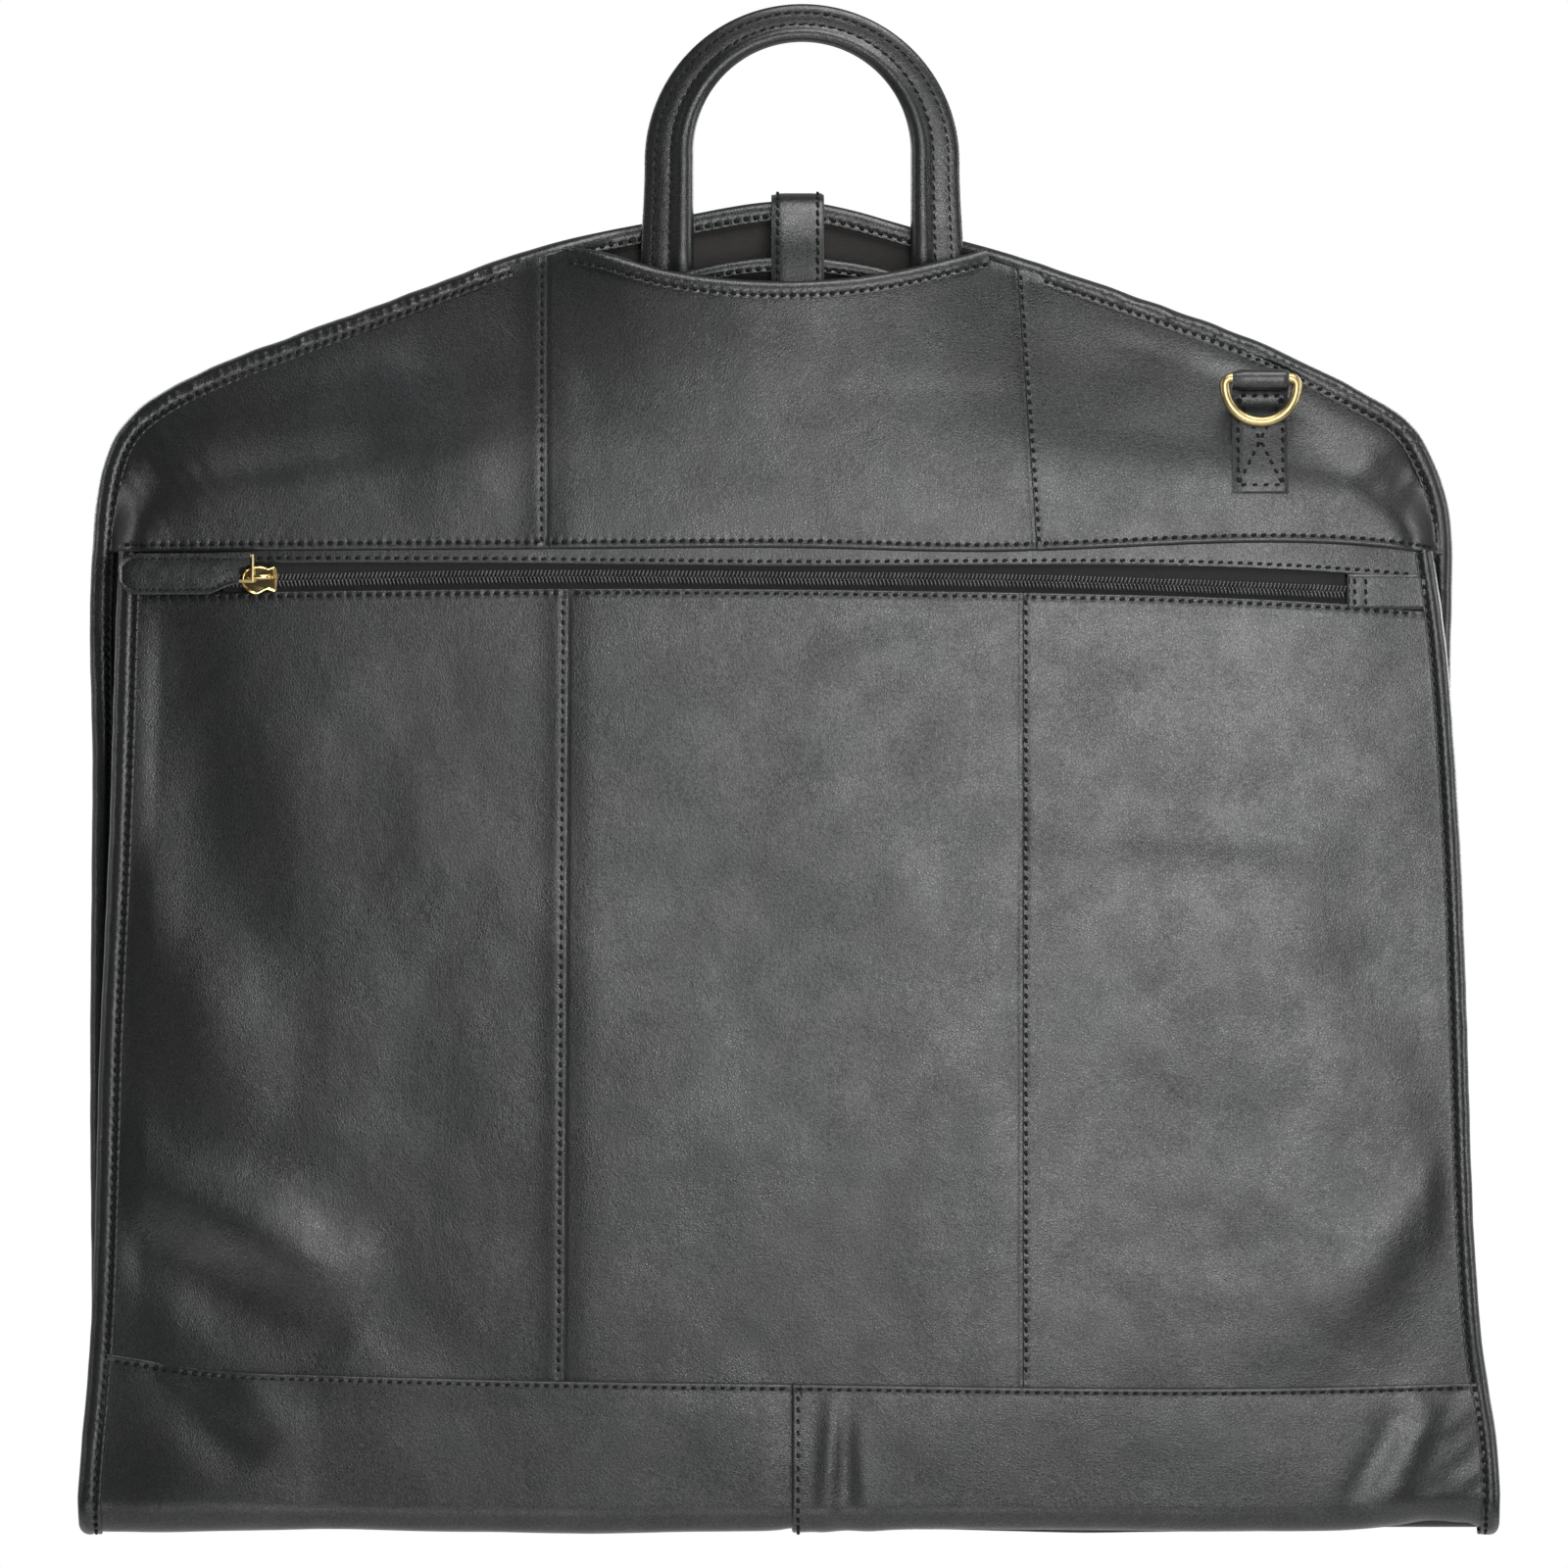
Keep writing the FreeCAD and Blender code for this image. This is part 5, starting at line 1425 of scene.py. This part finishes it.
zs = np.arange(32, ZIP_TOP - 1, 2.0)
line = points_of(ZIP_X, inner_y(np.full_like(zs, ZIP_X), zs) + 1.5, zs)
main_zip("main_zip_upper", line, each((0, -1, 0), len(zs)), "main_zip", "upper_half")
zs = np.arange(32, LOWER_ZIP_TOP - 1, 2.0)
line = points_of(ZIP_X, lower_inner_y(np.full_like(zs, ZIP_X), zs) - 1.5, zs)
main_zip("main_zip_lower", line, each((0, 1, 0), len(zs)), "lower_zip", "lower_half")
for word, sign in (("back", 1), ("front", -1)):
    flat = tangents(fold_loop)
    line = points_of(ZIP_X, sign * fold_loop[:, 0], fold_loop[:, 1])
    out = points_of(0.0, sign * flat[:, 1], -flat[:, 0])
    out *= -sign * np.sign(out[0, 1])
    main_zip(f"main_zip_fold_{word}", line + out * 0.4, out, None, None, sign < 0)

# ---- closed end of the pocket zip ----------------------------------------------------------------


def patch(name, left, right, low, high, surface, thickness, material, step=0.8):
    """A small leather piece with turned edges over a surface."""
    columns = np.linspace(left, right, int((right - left) / step))
    x, z = np.meshgrid(columns, np.linspace(low, high, int((high - low) / step)), indexing="ij")
    away = np.minimum(np.minimum(x - left, right - x), np.minimum(z - low, high - z))
    return shell(name, points_of(x, surface(x, z) + edge_roll(away, 0.9), z), thickness, material, (0, 1, 0))


end_x0 = node_box("pocket_zip_end")[0][0]
end_x1 = lower_right(389.0) - 4.0
end_z0 = pocket_top_z(240)
end_z1 = facing_z(240)
END_ROWS = (3.0, 7.5)  # its rows of stitches, from its left edge


def end_surface(x, z):
    rows = sum(pucker(x - end_x0 - column, z, 0.2, 1.1) for column in END_ROWS)
    return pocket_y(x, z) - 0.9 + rows


limits = (end_x0, end_x1, end_z0 - 1.5, end_z1 + 1.0)
made = patch("pocket_zip_end_leather", *limits, end_surface, 1.1, leather)
stand_for(made, "leather", "lower_half", "pocket_zip_end")
for column in END_ROWS:
    lower_row(np.full(20, end_x0 + column), np.linspace(end_z0 - 0.5, end_z1, 20), -0.9)

# ---- handle --------------------------------------------------------------------------------------

handle_low, handle_high = node_box("handle_cover")
HANDLE_X = (handle_low[0] + handle_high[0]) / 2
HANDLE_Y = (handle_low[1] + handle_high[1]) / 2
OUTER_RADIUS = (handle_high[0] - handle_low[0]) / 2
OUTER_CENTRE = handle_high[2] - OUTER_RADIUS
INNER_RADIUS = OUTER_RADIUS - 20.2
INNER_CENTRE = -ORIGIN[2] / MM - INNER_RADIUS
HANDLE_FOOT = 512.0
HANDLE_ROWS = (0.465, 0.77)  # its rows of stitches, as shares of its width from the inner edge
ROLL_POINTS = 10
PIVOT_Z = 523.5


def arch(radius, centre, count, foot):
    """Points along a leg, a half circle and the other leg."""
    legs = count // 4
    up = np.linspace(foot, centre, legs, endpoint=False)
    a = np.linspace(math.pi, 0, count - 2 * legs)
    x = np.concatenate([np.full(legs, -radius), radius * np.cos(a), np.full(legs, radius)]) + HANDLE_X
    z = np.concatenate([up, centre + radius * np.sin(a), up[::-1]])
    return points_of(x, HANDLE_Y, z)


def handle_section():
    """(share of the width from the inner edge, half thickness in mm) round one face."""
    roll = [math.radians(180 - 15 * k) for k in range(ROLL_POINTS)]
    face = [(0.225 * (1 + math.cos(a)), 4.4 * math.sin(a)) for a in roll]
    face += [
        (0.42, 2.85), (0.455, 2.65), (0.49, 2.6), (0.55, 2.6), (0.63, 2.45), (0.71, 2.25), (0.77, 1.98),
        (0.81, 1.92),
    ]
    face += [(0.88, 1.6), (0.94, 1.2), (0.985, 0.7), (1.0, 0.0)]
    return face


def handle_cover():
    count = 260
    inner = arch(INNER_RADIUS, INNER_CENTRE, count, HANDLE_FOOT)
    outer = arch(OUTER_RADIUS, OUTER_CENTRE, count, HANDLE_FOOT)
    outer[:, 0] += np.sign(outer[:, 0] - HANDLE_X) * 1.8 * ramp(560 - outer[:, 2], 0, 45)
    face = handle_section()
    share, depth = np.array([(a, -y) for a, y in face] + face[-2:0:-1]).T
    s = lengths(inner)
    sections = inner[:, None, :] + (outer - inner)[:, None, :] * share[None, :, None]
    squash = 1 - 0.35 * ramp(HANDLE_FOOT + 14 - inner[:, 2], 0, 14)
    wrinkle = 0.14 * noise(s, 0.0, 14, 101)[:, None] * bump(share - 0.25, 0.3)[None, :]
    rows = sum(bump(share - at, 0.035) for at in HANDLE_ROWS)[None, :]
    dent = 0.08 * rows * (1 + np.cos(2 * math.pi * s / PITCH))[:, None]
    sections[..., 1] += depth[None, :] * squash[:, None] + np.sign(depth)[None, :] * (wrinkle - dent)
    made = tube("handle_cover_leather", sections, handle_leather, 70)
    sewing = Sewing()
    for at in HANDLE_ROWS:
        level_y = np.interp(at, *np.array(face[ROLL_POINTS - 1 :]).T) - 0.1
        for sign in (-1, 1):
            row = inner + (outer - inner) * at
            row[:, 1] += sign * level_y
            sewing.row(row[6:-6], (0, sign, 0), length=3.0, radius=0.36)
    stitches = sewing.make("handle_stitches")
    for piece in (made, stitches):
        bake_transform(piece)
    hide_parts("handle_cover")


handle_cover()


def sew_lines(sewing, pairs, y_at, out):
    """Rows of stitches between pairs of (x, z) places; y_at(z) is the surface's Y."""
    for (x0, z0), (x1, z1) in pairs:
        z = np.linspace(z0, z1, 12)
        sewing.row(points_of(np.linspace(x0, x1, 12), y_at(z), z), out)


def handle_leg(word):
    """The handle's flattened end, sewn inside the back."""
    low, high = node_box(f"handle_leg_{word}")
    x, z = np.meshgrid(np.linspace(low[0], high[0], 22), np.linspace(low[2], PIVOT_Z - 4, 34), indexing="ij")
    away = np.minimum(np.minimum(x - low[0], high[0] - x), z - low[2])
    front = high[1] - 4.0 - 1.6 * ramp(z, 500, 520) + edge_roll(away, 1.8) + 0.2 * noise(x, z, 8, 111)
    made = shell(f"handle_leg_{word}_leather", points_of(x, front, z), 3.2, handle_leather, (0, 1, 0))
    stand_for(made, "leather", "upper_half", f"handle_leg_{word}")
    x0, x1, z0, z1 = low[0] + 2.5, high[0] - 2.5, low[2] + 2.5, HANDLE_FOOT
    a, b, c, d = (x0, z0), (x1, z0), (x0, z1), (x1, z1)
    sew_lines(upper_sewing, ((a, b), (a, c), (b, d), (a, d), (c, b)), level(high[1] - 4.0), (0, -1, 0))


handle_leg("left")
handle_leg("right")

# ---- closure strap -------------------------------------------------------------------------------

strap_low, strap_high = node_box("closure_strap_front")
tail_low = node_box("closure_strap_tail")[0]
STRAP_X = (strap_low[0] + strap_high[0]) / 2
STRAP_HALF = (strap_high[0] - strap_low[0]) / 2
STRAP_PATH = [
    (-0.9, 470), (-1.0, 500), (-0.6, 520), (1.5, 531), (5.0, 540.5), (9.2, 547.0), (13.5, 549.0),
    (17.6, 548.6), (19.9, 545.0), (20.1, 538), (19.7, 520), (19.6, 505),
]


def strap():
    """One strip from the inner front over the back's top edge and down the back, with a round end."""
    path = even(smooth_line(STRAP_PATH, 0.5), 150)
    drop = points_of(path[-1, 0], np.linspace(path[-1, 1] - 1, tail_low[2], 16))
    path = np.concatenate([path, drop])
    low = np.clip((path[:, 1] - tail_low[2]) / STRAP_HALF, 0, 1)
    round_end = np.sqrt(np.maximum(1 - (1 - low) ** 2, 0.004))
    half = STRAP_HALF * np.where(np.arange(len(path)) > 90, round_end, 1.0)
    share = fractions(2, 0.11, 0.3, 0.3) * 2 - 1
    t = tangents(path)
    normal = points_of(t[:, 1], -t[:, 0])
    x = STRAP_X + half[:, None] * share[None, :]
    away = half[:, None] * (1 - np.abs(share[None, :]))
    sink = edge_roll(away, 0.8) + 0.2 * bump(away - 2.8, 1.0)
    y = path[:, 0][:, None] + normal[:, 0][:, None] * sink
    z = path[:, 1][:, None] + normal[:, 1][:, None] * sink
    face = points_of(x, y, z)
    n = normals_of(face)
    if n[5, 10, 1] > 0:
        n = -n
    made = shell("closure_strap_leather", face, LEATHER, leather, (0, 0, 0) - n[len(path) // 3, 10])
    sewing = Sewing()
    for side in (-1, 1):
        line = points_of(STRAP_X + side * (STRAP_HALF - 2.6), path[:-18, 0], path[:-18, 1])
        out = points_of(0.0, -normal[:-18, 0], -normal[:-18, 1])
        if out[5, 1] > 0:
            out = -out
        sewing.row(line, out, length=3.0)
    stitches = sewing.make("closure_strap_stitches")
    for piece in (made, stitches):
        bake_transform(piece)
    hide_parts("closure_strap_front", "closure_strap_tail")


strap()

# ---- ring tabs -----------------------------------------------------------------------------------


def ring_tab(word, side):
    """The leather tab that holds a D-ring: a loop over the bar and a sewn box below it."""
    low, high = node_box(f"{word}_ring_tab")
    ring_low, ring_high = node_box(f"{word}_d_ring")
    centre_x = (low[0] + high[0]) / 2
    half = (high[0] - low[0]) / 2
    bar_y = (ring_low[1] + ring_high[1]) / 2
    bar_z = high[2] - 2.15 - 1.4
    surface = yoke_y if side < 0 else back_y

    def face_at(z):
        """Y of the tab's outer face where it lies on the panel."""
        z = np.atleast_1d(np.asarray(z, float))
        spread = np.linspace(-half, half, 5)
        grid_x, grid_z = np.meshgrid(centre_x + spread, z)
        heights = surface(grid_x, grid_z) * side
        return side * (heights.max(axis=1) + TAB_RISE + 2.4 * ramp(z, bar_z - 34, bar_z - 12))

    flat_z = np.linspace(low[2], bar_z - 8.5, 7)
    flat = points_of(face_at(flat_z), flat_z)
    face = flat[-1, 0]
    round_bar = [(1.7, -4.0), (3.4, -1.0), (3.0, 1.7), (0.0, 3.45), (-3.0, 1.5), (-3.4, -2.5)]
    turn = [(face + side * 0.6, bar_z - 5.9)] + [(bar_y + side * y, bar_z + z) for y, z in round_bar]
    path = smooth_line([*flat, *turn], 0.5)
    share = fractions(2, 0.12, 0.35, 0.35) * 2 - 1
    t = tangents(path)
    out = points_of(-t[:, 1], t[:, 0]) * (1 if side < 0 else -1)
    away = half * (1 - np.abs(share))[None, :]
    end = lengths(path)[:, None]
    sewn = ramp(bar_z - 5 - path[:, 1], 0, 2) * (end[:, 0] < 60)
    sink = edge_roll(np.minimum(away, end), 0.9) + 0.25 * bump(away - 2.3, 0.9) * sewn[:, None]
    y = path[:, 0][:, None] - out[:, 0][:, None] * sink
    z = path[:, 1][:, None] - out[:, 1][:, None] * sink
    x = centre_x + half * share[None, :] + 0 * y
    made = shell(f"{word}_ring_tab_leather", points_of(x, y, z), 1.5, leather, (0, -side, 0))
    stand_for(made, "leather", "upper_half", f"{word}_ring_tab")
    x0, x1 = centre_x - half + 2.4, centre_x + half - 2.4
    z0, z1 = low[2] + 3.5, bar_z - 7.2
    leaf = path[: path[:, 1].argmax()]
    a, b, c, d = (x0, z0), (x1, z0), (x0, z1), (x1, z1)
    pairs = ((a, b), (c, d), (a, c), (b, d), (a, d), (c, b))
    sew_lines(upper_sewing, pairs, lambda z: np.interp(z, leaf[:, 1], leaf[:, 0]), (0, side, 0))


ring_tab("front", -1)
ring_tab("back", 1)

# ---- pocket slider and pull ----------------------------------------------------------------------


def bevelled(name, outline, y0, y1, material, width=0.5, segments=3):
    """A flat piece with rounded edges, from an outline of (x, z) points."""
    mesh = bmesh.new()
    front = [mesh.verts.new(metres((x, y0, z))) for x, z in outline]
    back = [mesh.verts.new(metres((x, y1, z))) for x, z in outline]
    mesh.faces.new(front)
    mesh.faces.new(back[::-1])
    count = len(outline)
    for k in range(count):
        n = (k + 1) % count
        mesh.faces.new([front[n], front[k], back[k], back[n]])
    bmesh.ops.recalc_face_normals(mesh, faces=mesh.faces)
    rims = [e for e in mesh.edges if len(e.link_faces) == 2 and e.calc_face_angle() > 0.9]
    bmesh.ops.bevel(mesh, geom=rims, offset=width * MM, segments=segments, affect="EDGES", profile=0.5)
    made = from_bmesh(name, mesh, material)
    shade(made.data, 35)
    return made


def rod(name, path, radius, material, sides=12, closed=False):
    """A round wire along a line of 3D points."""
    path = np.asarray(path, float)
    if closed:
        t = np.roll(path, -1, axis=0) - np.roll(path, 1, axis=0)
        t = t / np.linalg.norm(t, axis=1)[:, None]
    else:
        t = tangents(path)
    flat = np.linalg.svd(path - path.mean(axis=0))[2][2]
    first = np.tile(flat, (len(path), 1))
    second = np.cross(t, first)
    a = 2 * math.pi * np.arange(sides) / sides
    around = np.cos(a)[None, :, None] * first[:, None, :] + np.sin(a)[None, :, None] * second[:, None, :]
    ring = path[:, None, :] + radius * around
    if not closed:
        return tube(name, ring, material, 60)
    count = len(path) * sides
    faces = [[v % count for v in f] for f in grid_faces(len(path) + 1, sides, wrap=True)]
    return make_object(name, ring.reshape(-1, 3), faces, material, 60)


slider_low, slider_high = node_box("pocket_slider")
SLIDER_X = (slider_low[0] + slider_high[0]) / 2
SLIDER_Z = (slider_low[2] + slider_high[2]) / 2


def slider_plate(scale):
    """The outline of the slider's plate: pointed lobes at the left, a waist and a flared end."""
    shape = [
        (-7.4, 0.6), (-6.6, -2.6), (-4.2, -5.2), (-1.2, -6.1), (1.2, -4.9), (3.4, -4.0), (6.6, -4.9),
        (7.0, -2.0), (7.2, 0.9), (7.0, 3.8), (6.4, 6.2), (3.6, 5.6), (0.8, 6.2), (-1.8, 6.4), (-4.8, 5.4), (
            -6.8, 3.4
        ),
    ]
    line = smooth_line(shape + shape[:1], 0.5)[:-1]
    return [(SLIDER_X + scale * px, SLIDER_Z - 0.4 + scale * pz * 0.88) for px, pz in line]


plate_y = pocket_y(np.array([[SLIDER_X]]), np.array([[SLIDER_Z]]))[0, 0] - 0.9
dish = bevelled("plate", slider_plate(1.0), plate_y - 1.3, plate_y + 0.2, polished_brass, 0.45)
rim_line = np.array([(px, plate_y - 1.5, pz) for px, pz in slider_plate(0.95)])
rim = rod("rim", rim_line, 0.55, polished_brass, 8, closed=True)
# along the slider, and out from its plate
BRIDGE = [(-4.4, 1.0), (-3.4, 3.2), (0.0, 4.4), (3.4, 3.4), (4.6, 1.0)]
bridge_path = smooth_line([(SLIDER_X + along, plate_y - out, SLIDER_Z + 1.0) for along, out in BRIDGE], 0.4)
bridge = rod("bridge", bridge_path, 1.05, polished_brass, 12)
lower_plate = [
    (SLIDER_X + across * 5.5, SLIDER_Z + up * 3.6) for across, up in ((-1, -1), (1, -1), (1, 1), (-1, 1))
]
under = bevelled("under", lower_plate, plate_y, plate_y + 2.6, polished_brass, 0.4, 2)
slider = joined("pocket_slider_brass", [dish, rim, bridge, under])
shade(slider.data, 40)
stand_for(slider, "brass", "zip_slider", "pocket_slider")


def pull_tab():
    """A leather pull with a round end, blank, with a stitched edge and a narrow neck at the wire."""
    low, high = node_box("pull_tab")
    end_radius = 8.0
    half_width = 8.4
    row_inset = 2.1
    middle = (low[2] + high[2]) / 2
    wire_z = 394.9
    tip_x = low[0]
    neck_x = high[0] - 1.0
    curve = 1 - np.cos(np.linspace(0, math.pi / 2, 16))
    s = np.concatenate([curve, np.linspace(0, 1, 44)[1:] * (neck_x - tip_x - end_radius) / end_radius + 1])
    xs = tip_x + end_radius * s
    round_end = np.sqrt(np.clip(1 - (1 - np.clip(s, 0, 1)) ** 2, 0.0001, 1))
    narrow = ramp(xs, neck_x - 14, neck_x - 1)
    half = half_width * round_end * (1 - narrow) + 6.7 * narrow
    centre = middle * (1 - narrow) + wire_z * narrow
    share = np.sin(np.linspace(-math.pi / 2, math.pi / 2, 25))
    wrap = ramp(xs, neck_x - 6, neck_x)[:, None] * ramp(share, 0.04, 0.2)[None, :]
    x = xs[:, None] + 4.5 * wrap
    z = centre[:, None] + half[:, None] * share[None, :]
    away = np.minimum(half[:, None] * (1 - np.abs(share)[None, :]), (xs - tip_x)[:, None] + 0.3)
    y_face = low[1] - 0.3
    groove = 0.3 * bump(away - row_inset, 0.7)
    dome = 0.3 * ramp(away, 2.5, 6)
    y = y_face + edge_roll(away, 0.7) + groove - dome + 0.08 * noise(x, z, 6, 121)
    made = shell("pull_tab_leather", points_of(x, y, z), 1.7, handle_leather, (0, 1, 0))
    stand_for(made, "leather", "zip_pull", "pull_tab")
    sewing = Sewing()
    angle = np.linspace(-math.pi / 2, math.pi / 2, 40)
    ring_x = tip_x + end_radius - (end_radius - row_inset) * np.cos(angle)
    ring_z = middle + (half_width - row_inset) * np.sin(angle)
    lines = []
    for sign in (-1, 1):
        side_x = np.linspace(tip_x + end_radius, neck_x - 2, 50)
        share = ramp(side_x, neck_x - 14, neck_x - 1)
        side_z = (middle + sign * (half_width - row_inset)) * (1 - share) + (wire_z + sign * 3.8) * share
        lines.append((side_x, side_z))
    for line_x, line_z in (*lines, (ring_x, ring_z)):
        line = points_of(line_x, y_face + 0.3, line_z)
        sewing.row(line, (0, -1, 0), pitch=2.6, length=1.9, radius=0.28)
    sewing.make("pull_tab_stitches", "zip_pull")


pull_tab()

# ---- fittings that keep their CAD shape ----------------------------------------------------------

FITTINGS = ["front_d_ring", "back_d_ring", "pull_wire", "press_stud_post", "press_stud_cap", "main_slider"]
kept = {name: brass for name in FITTINGS} | {"main_pull": handle_leather, "handle_core": cord_core}
for name, material in kept.items():
    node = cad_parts[name]
    if not node.material_slots:
        node.data.materials.append(material)
    for node_slot in node.material_slots:
        node_slot.material = material

# ---- stitches into meshes ------------------------------------------------------------------------

upper_sewing.make("upper_half_stitches", "upper_half")
lower_sewing.make("lower_half_stitches", "lower_half")
to_fold(fold_back_sewing.make("fold_back_stitches"))
to_fold(fold_front_sewing.make("fold_front_stitches"), front=True)

# ---- floor, light, camera ------------------------------------------------------------------------


FLOOR_Z = -470.0  # below the bag's lower half when that hangs down
FLOOR_RADIUS = 1.3  # metres


def floor():
    """A wide pale disc far below the bag, clear of the half that swings down."""
    plain = plain_material(
        "pale_floor", (0.82, 0.82, 0.81, 1), (0.80, 0.80, 0.79, 1), 0.7, scratch=0.1, scale=200.0
    )
    disc = bmesh.new()
    bmesh.ops.create_circle(disc, cap_ends=True, segments=96, radius=FLOOR_RADIUS)
    made = from_bmesh("floor", disc, plain)
    made.location = metres((0, 0, FLOOR_Z)).tolist()


def light(name, place, target, size, power):
    """A soft rectangular light at a place, turned to a target; its size is in metres."""
    data = bpy.data.lights.new(name, "AREA")
    data.shape = "RECTANGLE"
    data.size, data.size_y = size
    data.energy = power
    made = link(name, data)
    start = metres(place)
    made.location = start.tolist()
    made.rotation_euler = Vector(metres(target) - start).to_track_quat("-Z", "Y").to_euler()


WORLD_LIGHT = 0.045  # in front of the bag
WORLD_BEHIND = 0.45  # added behind it, where the pale background is

floor()
# name, place, target, size in metres, power in watts
LIGHTS = [
    ("key", (215, -950, 355), (90, 0, 270), (0.5, 0.6), 8.6),
    ("low", (-150, -900, -480), (-100, 0, 60), (0.9, 0.3), 4.5),
    ("top", (250, -500, 1300), (60, 0, 270), (0.9, 0.5), 14),
    ("fill", (-1500, -1500, 300), (-60, 0, 260), (0.5, 1.6), 1.0),
    ("rim_right", (1400, -250, 500), (200, 0, 300), (0.4, 1.2), 11),
    ("rim_left", (-1400, -150, 700), (-200, 0, 300), (0.25, 1.2), 5),
    ("back_left", (-1300, 1500, 1100), (0, 0, 300), (1.2, 1.2), 24),
    ("back_right", (1300, 1600, 900), (0, 0, 300), (1.2, 1.2), 24),
]
for row in LIGHTS:
    light(*row)



def studio():
    """White where the camera looks past the bag; as light, dim in front of it and brighter behind."""
    world = bpy.data.worlds.new("studio")
    world.use_nodes = True
    nodes = world.node_tree.nodes
    join = world.node_tree.links.new
    seen = nodes["Background"]
    seen.inputs["Color"].default_value = (1.0, 1.0, 1.0, 1.0)
    lighting = nodes.new("ShaderNodeBackground")
    lighting.inputs["Color"].default_value = (0.95, 0.98, 1.0, 1.0)
    parts = nodes.new("ShaderNodeSeparateXYZ")
    behind = nodes.new("ShaderNodeMapRange")
    limits = {"From Min": -0.1, "From Max": 0.6, "To Min": WORLD_LIGHT, "To Max": WORLD_LIGHT + WORLD_BEHIND}
    for key, value in limits.items():
        behind.inputs[key].default_value = value
    choice = nodes.new("ShaderNodeMixShader")
    join(nodes.new("ShaderNodeTexCoord").outputs["Generated"], parts.inputs[0])
    join(parts.outputs["Y"], behind.inputs["Value"])
    join(behind.outputs["Result"], lighting.inputs["Strength"])
    join(nodes.new("ShaderNodeLightPath").outputs["Is Camera Ray"], choice.inputs[0])
    join(lighting.outputs[0], choice.inputs[1])
    join(seen.outputs[0], choice.inputs[2])
    join(choice.outputs[0], nodes["World Output"].inputs["Surface"])
    bpy.context.scene.world = world
    bpy.context.scene.view_settings.view_transform = "Standard"


studio()

CAMERA_AWAY = 7000.0
PICTURE_WIDTH = 640.0
PICTURE_X = -2.0
PICTURE_Z = 307.0
FRONT_Y = -15.0
SENSOR = 36.0
camera_data = bpy.data.cameras.new("camera")
camera_data.sensor_width = SENSOR
camera_data.lens = SENSOR * CAMERA_AWAY / PICTURE_WIDTH
camera_data.clip_end = 20.0
camera = link("camera", camera_data)
camera.location = metres((PICTURE_X, FRONT_Y - CAMERA_AWAY, PICTURE_Z)).tolist()
camera.rotation_euler = (math.radians(90), 0, 0)
bpy.context.scene.camera = camera
